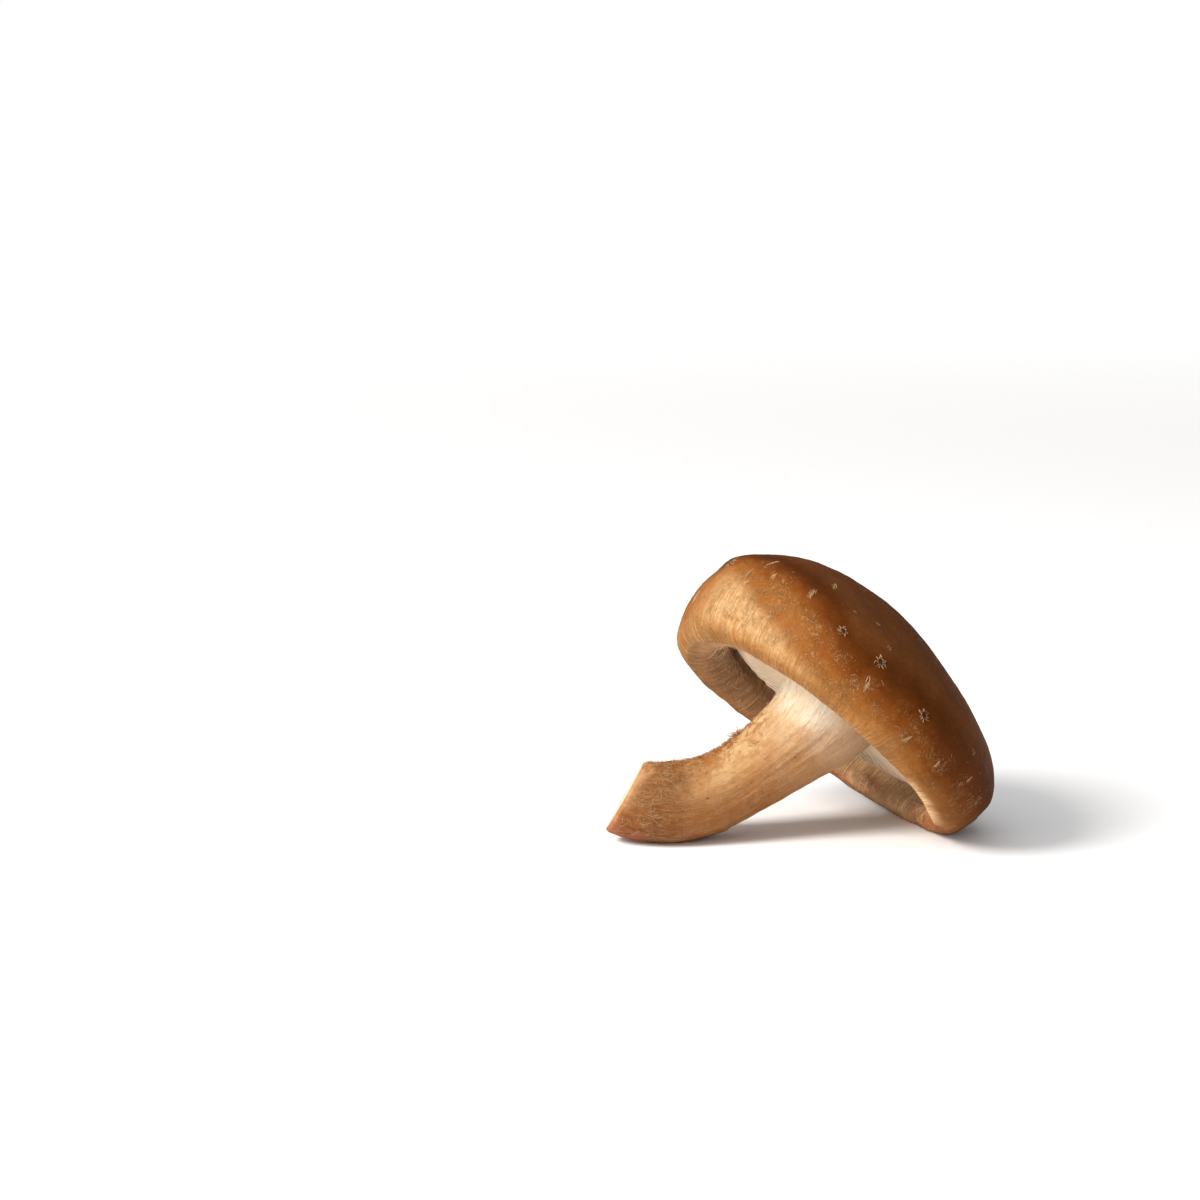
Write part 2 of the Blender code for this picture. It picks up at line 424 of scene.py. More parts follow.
    def bump(self, height: Feed, depth: float, strength: float = 1.0) -> Socket:
        """Turns a height from 0 to 1 into a normal, with the depth in metres."""
        feeds = {"Height": height, "Distance": depth, "Strength": strength}
        return self.node("ShaderNodeBump", feeds).outputs[0]


def interface(tree: NodeTree, inputs: Sequence[tuple], outputs: Sequence[tuple]) -> None:
    """Gives a node group its named sockets.

    Args:
        tree: The group.
        inputs: Name, socket type and, where it has one, default value of each input.
        outputs: Name and socket type of each output.
    """
    for name, kind, *value in inputs:
        socket = tree.interface.new_socket(name=name, in_out="INPUT", socket_type=kind)
        if value:
            socket.default_value = value[0]
    for name, kind in outputs:
        tree.interface.new_socket(name=name, in_out="OUTPUT", socket_type=kind)


# Effects that several finishes share


FLOAT, VECTOR = "NodeSocketFloat", "NodeSocketVector"


def effect_group(name: str, inputs: Sequence[str], outputs: Sequence[str]) -> tuple[Graph, Outputs]:
    """Starts an effect as a node group that reads Place, a vector, and some numbers.

    Args:
        name: The group's name.
        inputs: Names of the numbers.
        outputs: Names of the numbers that it gives.

    Returns:
        The graph of the group, and its inputs by name.
    """
    tree = bpy.data.node_groups.new(name, "ShaderNodeTree")
    numbers = [(given, FLOAT) for given in inputs]
    interface(tree, [("Place", VECTOR), *numbers], [(given, FLOAT) for given in outputs])
    g = Graph(tree)
    return g, g.node("NodeGroupInput").outputs


def build_streaks() -> NodeTree:
    """Group for fine lines that run one way along a surface, as fibres do."""
    g, given = effect_group("streaks", ("Across", "Along", "Sharpness", "Waviness"), ("Lines", "Bands"))
    base = g.vector("MULTIPLY", given["Place"], g.joined(given["Across"], given["Across"], given["Along"]))
    drift = g.node("ShaderNodeTexNoise", {"Vector": base, "Scale": 0.35, "Detail": 2.0}).outputs[1]
    centred = g.vector("SUBTRACT", drift, (0.5, 0.5, 0.5))
    bent = g.vector("ADD", base, g.scaled(centred, given["Waviness"]))
    low = g.maths("MULTIPLY", given["Sharpness"], 0.28)
    fine = g.noise(bent, 1.0, 5.0, 0.6)
    lines = g.span(fine, g.maths("ADD", low, 0.3), g.maths("SUBTRACT", 0.78, low))
    bands = g.span(g.noise(bent, 0.33), 0.35, 0.65)
    g.node("NodeGroupOutput", {"Lines": lines, "Bands": bands})
    return g.tree


def build_fibrils() -> NodeTree:
    """Group for sparse curly hairline marks, pale on the skin, that come in patches."""
    g, given = effect_group("fibrils", ("Scale", "Width", "Cover"), ("Mask",))
    height = g.noise(given["Place"], given["Scale"], 2.0, 0.5, 1.4)
    away = g.maths("ABSOLUTE", g.maths("SUBTRACT", height, 0.5))
    line = g.maths("SUBTRACT", 1.0, g.maths("DIVIDE", away, given["Width"]), clamp=True)
    patch = g.noise(given["Place"], g.maths("MULTIPLY", given["Scale"], 0.35), 3.0)
    bar = g.maths("SUBTRACT", 0.78, g.maths("MULTIPLY", given["Cover"], 0.5))
    where = g.maths("MULTIPLY", g.maths("SUBTRACT", patch, bar), 9.0, clamp=True)
    g.node("NodeGroupOutput", {"Mask": g.product(line, where)})
    return g.tree


def build_mottle() -> NodeTree:
    """Group for soft blotches with finer ones in them, which vary a colour's strength round 1."""
    g, given = effect_group("mottle", ("Scale", "Strength"), ("Factor",))
    height = g.swing(given["Place"], given["Scale"], 6.0, 0.65)
    g.node("NodeGroupOutput", {"Factor": g.maths("MULTIPLY_ADD", height, given["Strength"], 1.0)})
    return g.tree


class Effects:
    """The shared effects, each a group that is built once and placed by a call."""

    def __init__(self) -> None:
        """Builds the groups."""
        self.groups = {"streaks": build_streaks(), "fibrils": build_fibrils(), "mottle": build_mottle()}

    def use(self, g: Graph, name: str, place: Socket, values: dict[str, float]) -> Outputs:
        """Places a group in a finish with its own values.

        Args:
            g: The finish's graph.
            name: The group's name.
            place: What its pattern is laid out by.
            values: Its other inputs.

        Returns:
            Its outputs by name.
        """
        made = g.node("ShaderNodeGroup", node_tree=self.groups[name])
        for key, value in {"Place": place, **values}.items():
            g.feed(made.inputs[key], value)
        return made.outputs

    def streaks(
        self, g: Graph, place: Socket, across: float, along: float, sharpness: float, waviness: float
    ) -> tuple[Socket, Socket]:
        """Fine lines along a surface, and broader bands among them."""
        values = {"Across": across, "Along": along, "Sharpness": sharpness, "Waviness": waviness}
        made = self.use(g, "streaks", place, values)
        return made["Lines"], made["Bands"]

    def fibrils(self, g: Graph, where: Socket, scale: float, width: float, cover: float) -> Socket:
        """Curly hairline marks in patches."""
        return self.use(g, "fibrils", where, {"Scale": scale, "Width": width, "Cover": cover})["Mask"]

    def mottle(self, g: Graph, where: Socket, scale: float, strength: float) -> Socket:
        """A factor that varies round 1."""
        return self.use(g, "mottle", where, {"Scale": scale, "Strength": strength})["Factor"]


def ramp(g: Graph, share: Feed, stops: Sequence[tuple[float, Colour]]) -> Socket:
    """Colour that eases through a few named stops.

    Args:
        g: The graph to add to.
        share: Where to read it, from 0 to 1.
        stops: Place and colour of each stop, in order.

    Returns:
        The colour there.
    """
    made = g.node("ShaderNodeValToRGB", {0: share})
    made.color_ramp.interpolation = "EASE"
    points = made.color_ramp.elements
    while len(points) < len(stops):
        points.new(0.5)
    for point, (place, colour) in zip(points, stops):
        point.position = place
        point.color = (*colour, 1.0)
    return made.outputs[0]


def new_material(name: str, roughness: float, specular: float) -> tuple[Material, Graph, Node]:
    """A fresh material with its graph and its Principled shader."""
    material = bpy.data.materials.new(name)
    material.use_nodes = True
    shader = material.node_tree.nodes["Principled BSDF"]
    shader.inputs["Roughness"].default_value = roughness
    shader.inputs["Specular IOR Level"].default_value = specular
    return material, Graph(material.node_tree), shader


# Finishes


@dataclass(frozen=True)
class CapFinish:
    """Satin brown skin, dark on the dome and golden at the margin, with fine radial streaks, painted light
    and painted shade.
    """

    apex: Colour = (0.110, 0.036, 0.009)
    dark: Colour = (0.072, 0.018, 0.002)
    deep: Colour = (0.090, 0.022, 0.002)
    brown: Colour = (0.138, 0.038, 0.005)
    orange: Colour = (0.195, 0.065, 0.011)
    tan: Colour = (0.265, 0.104, 0.024)
    golden: Colour = (0.340, 0.158, 0.046)
    margin: Colour = (0.275, 0.120, 0.034)
    lining: Colour = (0.600, 0.350, 0.180)
    blush: Colour = (0.360, 0.135, 0.058)
    bruise: Colour = (0.290, 0.085, 0.035)
    wisp: Colour = (0.450, 0.270, 0.120)
    # pale fuzz, painted paler still as light where the lining is dim
    pale_fuzz_and_painted_light: Colour = (0.900, 0.575, 0.300)
    # painted shade on the far lining, and the dark of the lining's fibres
    dark_fibre_and_shade: Colour = (0.150, 0.046, 0.009)
    pale: Colour = (0.450, 0.300, 0.145)
    rust: Colour = (0.190, 0.060, 0.008)
    # Sides are degrees round the cap.
    painted_light_side: float = 191.0  # the golden band reaches furthest up the dome here, partly its own colour and partly painted light on the side facing the key light
    high_gain: float = 0.20  # how much further it reaches there, high on the flank
    low_gain: float = 0.02  # and near the margin
    shade_loss: float = 0.03  # painted shade: how far it draws back on the other side, away from the key light
    bloom_and_sheen_side: float = 203.0  # the pale bloom and its painted sheen are strongest here, facing the key light
    bloom_and_sheen_turn: float = 287.0  # its upper edge is furthest out here
    bloom_and_sheen_start: float = 0.785  # how far out that edge is on average
    bloom_and_sheen_slant: float = 0.24  # and how much that changes either way
    near_side: float = 280.0  # the skin's own colour goes furthest round the lip here
    painted_shadow_side: float = 98.0  # painted shadow darkens the lining most here
    painted_light_corner: float = 352.0  # and painted light makes it palest here
    wisps_and_highlight_rim: float = 299.0  # pale wisps and a painted highlight cross the lip here
    flushed_corner: float = 337.0  # and the lip has a reddish bruise here
    # How thickly each layer covers what is under it.
    line_cover: float = 0.38
    band_cover: float = 0.22
    thread_cover: float = 0.55
    bloom_and_sheen_cover: float = 0.80
    wisp_cover: float = 0.42
    shade_cover: float = 0.50
    bruise_cover: float = 0.65
    # Scale and strength of each mottling.
    mottles: tuple[tuple[float, float], ...] = ((620.0, 0.45), (1900.0, 0.70), (110.0, 0.70))
    roughness: float = 0.46
    specular: float = 0.04
    relief_depth: float = 0.22 * MM

    def build(self, effects: Effects) -> Material:
        """Makes the material.

        Args:
            effects: The shared effects.

        Returns:
            The finished material. It reads the attribute place, with the way round in X and Y and the share
            of the way from apex to lip in Z, which passes 1 inside the margin.
        """
        material, g, shader = new_material("cap skin", self.roughness, self.specular)
        place, where = g.attribute("place"), g.position()
        round_x, _, reach = g.node("ShaderNodeSeparateXYZ", {0: place}).outputs
        rough = g.swing(where, 300.0, 5.0, 0.65)
        tone = self.tone(g, place, where, reach, rough)
        outer = g.span(tone, 0.45, 0.85)
        streaks, bands = effects.streaks(g, place, across=40.0, along=5.0, sharpness=0.45, waviness=0.9)
        threads, _ = effects.streaks(g, place, across=120.0, along=10.0, sharpness=0.55, waviness=1.6)
        lines = g.product(streaks, outer, self.line_cover)
        flank = g.product(g.span(tone, 0.30, 0.5), g.span(tone, 1.0, 0.75))
        fibrils = effects.fibrils(g, where, scale=760.0, width=0.055, cover=0.66)
        marks = g.product(fibrils, flank, self.wisp_cover)
        past = self.past_lip(g, place, reach, rough)
        colour = ramp(g, tone, self.stops())
        colour = g.paint(colour, self.rust, lines)
        colour = g.paint(colour, self.pale, bands, outer, self.band_cover)
        colour = g.paint(colour, self.rust, threads, outer, self.thread_cover)
        # Painted sheen, with a pale bloom, on the flank that faces the key light.
        colour = g.paint(colour, self.pale, self.bloom_and_sheen(g, place, where, reach, threads), self.bloom_and_sheen_cover)
        colour = g.paint(colour, self.wisp, marks)
        # Pale wisps with a painted highlight along the lip.
        colour = g.paint(colour, self.pale_fuzz_and_painted_light, self.rim(g, place, reach, threads))
        colour = g.paint(colour, self.inside(g, place, where, round_x, reach, threads), past)
        colour = g.paint(colour, self.bruise, self.bruised(g, place, where, reach), self.bruise_cover)
        mottles = [effects.mottle(g, where, *mottle) for mottle in self.mottles]
        g.feed(shader.inputs["Base Color"], g.strengthened(colour, g.product(*mottles)))
        gloss = g.product(g.noise(where, 420.0, 3.0), 0.30)
        g.feed(shader.inputs["Roughness"], g.total(g.product(past, 0.35), gloss, self.roughness))
        grain = g.product(g.noise(where, 1100.0, 5.0, 0.7), 0.5)
        scored = g.product(threads, outer, -0.8)
        relief = g.total(grain, g.product(lines, 0.8), g.product(marks, 1.2), scored)
        g.feed(shader.inputs["Normal"], g.bump(relief, self.relief_depth))
        return material

    def toward(self, g: Graph, place: Socket, side: float) -> Socket:
        """How nearly a point's way round is a side's, from -1 to 1."""
        turn = math.radians(side)
        return g.vector("DOT_PRODUCT", place, (math.cos(turn), math.sin(turn), 0.0))

    def stops(self) -> tuple[tuple[float, Colour], ...]:
        """Where each colour of the skin is at its purest, from 0 on the dome to 1 past the margin."""
        return (
            (0.0, self.apex),
            (0.25, self.dark),
            (0.36, self.deep),
            (0.45, self.brown),
            (0.545, self.orange),
            (0.64, self.tan),
            (0.76, self.golden),
            (1.0, self.margin),
        )

    def tone(self, g: Graph, place: Socket, where: Socket, reach: Socket, rough: Socket) -> Socket:
        """Where a point is in the skin's run of colours, which starts lower on the side facing the key light
        as painted light and draws back on the far side as painted shade.
        """
        side = self.toward(g, place, self.painted_light_side)
        mottled = g.total(g.product(g.swing(where, 70.0, 3.0), 0.11), g.product(rough, 0.08))
        gain = g.span(reach, 0.70, 0.92, self.high_gain, self.low_gain)
        moved = g.maths("MULTIPLY_ADD", g.span(side, 0.66, 1.0), gain, g.total(reach, mottled))
        moved = g.maths("SUBTRACT", moved, g.span(side, 0.35, -0.10, 0.0, self.shade_loss))
        feeds = {"Value": moved, "From Min": 0.60, "From Max": 1.15}
        return g.node("ShaderNodeMapRange", feeds).outputs["Result"]

    def past_lip(self, g: Graph, place: Socket, reach: Socket, rough: Socket) -> Socket:
        """How far the lining has taken over from the skin: at a ragged edge, further in on the near side."""
        near = g.span(self.toward(g, place, self.near_side), 0.15, 0.75, 0.0, -0.075)
        return g.span(g.total(g.maths("MULTIPLY_ADD", rough, 0.06, reach), near), 0.985, 1.045)

    def bloom_and_sheen(self, g: Graph, place: Socket, where: Socket, reach: Socket, threads: Socket) -> Socket:
        """Where the pale bloom and a painted sheen lie: a slanting band on the lit flank, broken up by the
        threads.
        """
        turned = self.toward(g, place, self.bloom_and_sheen_turn)
        start = g.maths("MULTIPLY_ADD", turned, self.bloom_and_sheen_slant, self.bloom_and_sheen_start)
        band = g.product(g.span(g.maths("SUBTRACT", reach, start), -0.03, 0.05), g.span(reach, 0.97, 0.89))
        facing = g.span(self.toward(g, place, self.bloom_and_sheen_side), 0.80, 0.97)
        flecked = g.span(g.noise(where, 420.0, 5.0, 0.7), 0.16, 0.66)
        return g.product(band, facing, flecked, g.maths("MULTIPLY_ADD", threads, -0.5, 1.0))

    def rim(self, g: Graph, place: Socket, reach: Socket, threads: Socket) -> Socket:
        """Where pale wisps and a painted highlight cross the lip."""
        facing = g.span(self.toward(g, place, self.wisps_and_highlight_rim), 0.93, 0.985)
        return g.product(g.span(reach, 0.955, 1.0), facing, g.maths("MULTIPLY_ADD", threads, -0.8, 0.95))

    def bruised(self, g: Graph, place: Socket, where: Socket, reach: Socket) -> Socket:
        """Where the lip is bruised."""
        facing = g.span(self.toward(g, place, self.flushed_corner), 0.88, 0.98)
        return g.product(g.span(reach, 0.93, 0.98), facing, g.span(g.noise(where, 260.0, 4.0), 0.35, 0.55))

    def inside(
        self, g: Graph, place: Socket, where: Socket, round_x: Socket, reach: Socket, threads: Socket
    ) -> Socket:
        """Colour of the lining, flushed towards the low side of the cap and woolly beside the gills, with
        painted shade on the far side and painted light beside the gills and in one corner.
        """
        low_side = g.span(round_x, -0.2, 0.5, 0.1, 1.0)
        flushed = g.product(g.span(g.noise(where, 130.0, 3.0), 0.42, 0.60), low_side)
        lining = g.blend(flushed, self.lining, self.blush)
        # Painted shadow darkens the lining on the far side.
        shaded = g.span(self.toward(g, place, self.painted_shadow_side), 0.35, 0.95)
        lining = g.paint(lining, self.dark_fibre_and_shade, shaded, self.shade_cover, g.span(reach, 1.10, 1.02))
        # Pale fuzz beside the gills, painted paler as light in that dim recess.
        lining = g.paint(lining, self.pale_fuzz_and_painted_light, g.span(reach, 1.06, 1.14, 0.0, 0.85))
        # Painted light: the lining is paled towards one corner where the key light reaches in.
        bright = g.span(self.toward(g, place, self.painted_light_corner), 0.90, 0.995, 0.0, 0.7)
        lining = g.paint(lining, self.pale_fuzz_and_painted_light, bright)
        return g.paint(lining, self.dark_fibre_and_shade, threads, 0.30)


@dataclass(frozen=True)
class GillFinish:
    """Cream, dull gill flesh, with painted shade between the blades that deepens towards the root."""

    cream: Colour = (0.700, 0.560, 0.410)
    shade: Colour = (0.300, 0.165, 0.080)
    edge: Colour = (0.700, 0.540, 0.370)
    first_shade: float = 0.70  # how much of the painted shade comes in just behind the free edge
    last_shade: float = 0.28  # and by the root
    roughness: float = 0.72
    specular: float = 0.3
    relief_depth: float = 0.12 * MM

    def build(self, effects: Effects) -> Material:
        """Makes the material, which reads the attribute depth: 0 at the free edge, 1 at the root."""
        material, g, shader = new_material("gill flesh", self.roughness, self.specular)
        where, depth = g.position(), g.attribute("depth", "Fac")
        fleck = g.noise(where, 700.0, 4.0, 0.6)
        colour = g.blend(g.span(fleck, 0.3, 0.75), self.cream, self.edge)
        first, last = g.span(depth, 0.005, 0.075), g.span(depth, 0.10, 0.70, 0.0, self.last_shade)
        colour = g.paint(colour, self.shade, g.maths("MULTIPLY_ADD", first, self.first_shade, last))
        g.feed(shader.inputs["Base Color"], g.strengthened(colour, effects.mottle(g, where, 160.0, 0.35)))
        g.feed(shader.inputs["Normal"], g.bump(fleck, self.relief_depth, 0.6))
        return material


@dataclass(frozen=True)
class StemFinish:
    """Cream near the cap, tan to orange-brown at the foot, with fibres along it and a pale cut face; painted
    shade darkens its underside and painted light pales patches on its top.
    """

    cream: Colour = (0.620, 0.540, 0.430)
    buff: Colour = (0.440, 0.290, 0.155)
    tan: Colour = (0.325, 0.162, 0.060)
    foot: Colour = (0.150, 0.053, 0.012)
    rim: Colour = (0.400, 0.220, 0.105)
    orange: Colour = (0.270, 0.090, 0.014)
    pink: Colour = (0.270, 0.070, 0.038)
    pale: Colour = (0.440, 0.290, 0.150)
    gold: Colour = (0.560, 0.395, 0.200)
    below: Colour = (0.76, 0.52, 0.37)  # painted shade: what the underside's colour is multiplied by
    flesh: Colour = (0.430, 0.350, 0.245)
    # How thickly each layer covers what is under it.
    underside_shade_cover: float = 0.85
    fine_cover: float = 0.20
    blotch_cover: float = 0.42
    bruise_cover: float = 0.60
    roughness: float = 0.70
    specular: float = 0.1
    relief_depth: float = 0.20 * MM

    def build(self, effects: Effects) -> Material:
        """Makes the material.

        Args:
            effects: The shared effects.

        Returns:
            The finished material. It reads the attributes place, with the way round in X and Y and the
            share of the length in Z, and cut, which is 1 on the cut face.
        """
        material, g, shader = new_material("stem skin", self.roughness, self.specular)
        place, where = g.attribute("place"), g.position()
        _, upward, share = g.node("ShaderNodeSeparateXYZ", {0: place}).outputs
        broad = g.swing(where, 90.0, 4.0, 0.6)
        along = g.maths("MULTIPLY_ADD", broad, 0.22, share)
        lines, _ = effects.streaks(g, place, across=10.0, along=7.0, sharpness=0.35, waviness=2.6)
        fine, _ = effects.streaks(g, place, across=42.0, along=20.0, sharpness=0.5, waviness=2.8)
        wisps = effects.fibrils(g, where, scale=1300.0, width=0.060, cover=0.80)
        rusty = effects.fibrils(g, where, scale=520.0, width=0.045, cover=0.60)
        blotches = g.span(g.noise(where, 210.0, 5.0, 0.65, 0.6), 0.52, 0.68)
        colour = ramp(g, along, self.stops())
        # Painted shade darkens the underside.
        below = g.product(g.span(upward, 0.55, -0.55), self.underside_shade_cover)
        colour = g.blend(below, colour, self.below, "MULTIPLY")
        colour = g.paint(colour, self.orange, lines, g.span(along, 0.05, 0.45, 0.08, 0.30))
        colour = g.paint(colour, self.pale, fine, self.fine_cover)
        colour = g.paint(colour, self.pale, wisps, g.span(along, 0.10, 0.45, 0.0, 0.30))
        colour = g.paint(colour, self.orange, rusty, g.span(along, 0.12, 0.35, 0.0, 0.42))
        colour = g.paint(colour, self.orange, blotches, g.span(share, 0.25, 0.6), self.blotch_cover)
        # Creamy patches on the top, partly painted light.
        golden = g.product(self.golden(g, where, upward), g.span(along, 0.86, 0.70, 0.1, 0.45))
        colour = g.paint(colour, self.gold, golden)
        colour = g.paint(colour, self.orange, self.torn(g, where, upward, share))
        bruised = g.product(g.span(upward, -0.25, -0.85), g.span(g.total(share, broad), 0.78, 0.92))
        colour = g.paint(colour, self.pink, bruised, self.bruise_cover)
        colour = g.strengthened(colour, effects.mottle(g, where, 1100.0, 0.50))
        pith = g.blend(g.span(g.noise(where, 900.0, 5.0, 0.7), 0.3, 0.8, 0.0, 0.6), self.flesh, self.cream)
        g.feed(shader.inputs["Base Color"], g.paint(colour, pith, g.attribute("cut", "Fac")))
        grain = g.product(g.noise(where, 1300.0, 3.0), 0.4)
        relief = g.total(g.product(lines, 0.6), g.product(fine, 0.4), grain)
        g.feed(shader.inputs["Normal"], g.bump(relief, self.relief_depth, 0.6))
        return material

    def stops(self) -> tuple[tuple[float, Colour], ...]:
        """Where each colour of the skin is at its purest, from 0 in the cap to 1 at the cut."""
        return (
            (0.0, self.cream),
            (0.18, self.cream),
            (0.34, self.buff),
            (0.52, self.tan),
            (0.72, self.tan),
            (0.86, self.foot),
            (0.925, self.foot),
            (0.985, self.rim),
        )

    def golden(self, g: Graph, where: Socket, upward: Socket) -> Socket:
        """Where the upper side has creamy patches, partly its own colour and partly painted light on the side
        the key light falls on.
        """
        return g.product(g.span(g.noise(where, 120.0, 5.0, 0.7), 0.44, 0.60), g.span(upward, 0.15, 0.75))

    def torn(self, g: Graph, where: Socket, upward: Socket, share: Socket) -> Socket:
        """Where the skin is torn along the very top, past the middle of its length."""
        ragged = g.product(g.span(upward, 0.72, 0.97), g.span(g.noise(where, 420.0, 4.0, 0.7), 0.44, 0.60))
        return g.product(ragged, g.span(share, 0.28, 0.40, 0.0, 0.80))


@dataclass(frozen=True)
class FibreFinish:
    """Dull fibre in two tones, picked for each strand by the attribute tint."""

    name: str
    light: Colour
    dark: Colour
    roughness: float = 0.75
    specular: float = 0.25

    def build(self) -> Material:
        """Makes the material."""
        material, g, shader = new_material(self.name, self.roughness, self.specular)
        g.feed(shader.inputs["Base Color"], g.blend(g.attribute("tint", "Fac"), self.light, self.dark))
        return material


# The light and the dark tone of each fibre and small mark.
FIBRE_TONES = {
    "torn skin": ((0.370, 0.220, 0.105), (0.110, 0.038, 0.011)),
    "scar hollow": ((0.035, 0.012, 0.005), (0.035, 0.012, 0.005)),
    "skin fibril": ((0.360, 0.220, 0.110), (0.240, 0.115, 0.045)),
    "lining fuzz": ((0.680, 0.430, 0.245), (0.400, 0.185, 0.075)),
    "veil thread": ((0.760, 0.580, 0.390), (0.480, 0.300, 0.165)),
    "stem fibre": ((0.470, 0.290, 0.140), (0.380, 0.150, 0.035)),
}


@dataclass(frozen=True)
class FloorFinish:
    """Matt and pale, and glowing a little far away as painted light, so that it meets the sky softly."""

    colour: Colour = (0.90, 0.90, 0.90)
    roughness: float = 0.9
    specular: float = 0.5
    near: float = 0.4  # metres from the middle at which it starts to brighten
    far: float = 1.8
    glow: float = 0.5

    def build(self) -> Material:
        """Makes the material."""
        material, g, shader = new_material("floor", self.roughness, self.specular)
        away = g.vector("DISTANCE", g.position(), (0.0, 0.0, 0.0))
        g.feed(shader.inputs["Base Color"], self.colour)
        # Painted light: the floor glows more the further it is from the middle.
        g.feed(shader.inputs["Emission Color"], (1.0, 1.0, 1.0))
        g.feed(shader.inputs["Emission Strength"], g.span(away, self.near, self.far, 0.0, self.glow))
        return material


# Geometry Nodes


class Tool(Enum):
    """The modelling trees that the pieces use."""

    SWEEP = "sweep strands"
    RING = "ring of blades"
    SETTLE = "settle gills"
    COAT = "coat of fuzz"


INTEGER, OBJECT, MATERIAL = "NodeSocketInt", "NodeSocketObject", "NodeSocketMaterial"


def modelling_tree(tool: Tool, inputs: Sequence[tuple]) -> tuple[Graph, Outputs]:
    """Starts a modelling tree that reads Geometry, some values of its own and Material.

    Args:
        tool: Which tree it is, which names it.
        inputs: Name and socket type of each of its own values.

    Returns:
        The graph of the new tree, and its inputs by name.
    """
    tree = bpy.data.node_groups.new(tool.value, "GeometryNodeTree")
    shape = ("Geometry", "NodeSocketGeometry")
    interface(tree, (shape, *inputs, ("Material", MATERIAL)), (shape,))
    tree.is_modifier = True
    g = Graph(tree)
    return g, g.node("NodeGroupInput").outputs


def end_tree(g: Graph, geometry: Socket, material: Feed) -> NodeTree:
    """Ends a modelling tree with real geometry in its finish."""
    real = g.node("GeometryNodeRealizeInstances", {0: geometry}).outputs[0]
    dressed = g.node("GeometryNodeSetMaterial", {"Geometry": real, "Material": material}).outputs[0]
    g.node("NodeGroupOutput", {0: dressed})
    return g.tree


def stored(g: Graph, name: str) -> Socket:
    """The number that a shape keeps under a name."""
    return g.node("GeometryNodeInputNamedAttribute", {"Name": name}, data_type="FLOAT").outputs["Attribute"]


def build_sweep() -> NodeTree:
    """Tree that turns lines of points into round strands, as thick at each point as its attribute girth."""
    g, given = modelling_tree(Tool.SWEEP, (("Sides", INTEGER),))
    curve = g.node("GeometryNodeMeshToCurve", {0: given["Geometry"]}).outputs[0]
    feeds = {"Resolution": given["Sides"], "Radius": 1.0}
    circle = g.node("GeometryNodeCurvePrimitiveCircle", feeds).outputs[0]
    feeds = {"Curve": curve, "Profile Curve": circle, "Scale": stored(g, "girth"), "Fill Caps": True}
    swept = g.node("GeometryNodeCurveToMesh", feeds).outputs[0]
    smooth = g.node("GeometryNodeSetShadeSmooth", {0: swept}).outputs[0]
    return end_tree(g, smooth, given["Material"])


def build_ring() -> NodeTree:
    """Tree that adds a ring of one blade, turned about the Z axis, to what it is given."""
    numbers = (("Count", INTEGER), ("First turn", FLOAT), ("Wander", FLOAT), ("Seed", INTEGER))
    g, given = modelling_tree(Tool.RING, (("Blade", OBJECT), *numbers))
    points = g.node("GeometryNodePoints", {"Count": given["Count"]}).outputs[0]
    index = g.node("GeometryNodeInputIndex").outputs[0]
    step = g.maths("DIVIDE", math.tau, given["Count"])
    stray = g.random("FLOAT", g.maths("MULTIPLY", given["Wander"], -1.0), given["Wander"], given["Seed"])
    angle = g.maths("ADD", g.maths("MULTIPLY_ADD", index, step, given["First turn"]), stray)
    blade = g.node("GeometryNodeObjectInfo", {"Object": given["Blade"]}).outputs["Geometry"]
    feeds = {"Points": points, "Instance": blade, "Rotation": g.joined(z=angle)}
    placed = g.node("GeometryNodeInstanceOnPoints", feeds).outputs[0]
    both = g.node("GeometryNodeJoinGeometry")
    g.feed(both.inputs[0], given["Geometry"])
    g.feed(both.inputs[0], placed)
    return end_tree(g, both.outputs[0], given["Material"])


def build_settle() -> NodeTree:
    """Tree that bends each gill a little to either side and puts the ring of gills in its place."""
    inputs = (("Bend", FLOAT), ("Bend size", FLOAT), ("Place", VECTOR), ("Turn", VECTOR))
    g, given = modelling_tree(Tool.SETTLE, inputs)
    position = g.node("GeometryNodeInputPosition").outputs[0]
    around = g.vector("NORMALIZE", g.vector("CROSS_PRODUCT", (0.0, 0.0, 1.0), position))
    amount = g.product(g.swing(position, given["Bend size"], 1.0), given["Bend"])
    feeds = {"Geometry": given["Geometry"], "Offset": g.scaled(around, amount)}
    bent = g.node("GeometryNodeSetPosition", feeds).outputs[0]
    feeds = {"Geometry": bent, "Translation": given["Place"], "Rotation": given["Turn"]}
    settled = g.node("GeometryNodeTransform", feeds).outputs[0]
    return end_tree(g, settled, given["Material"])


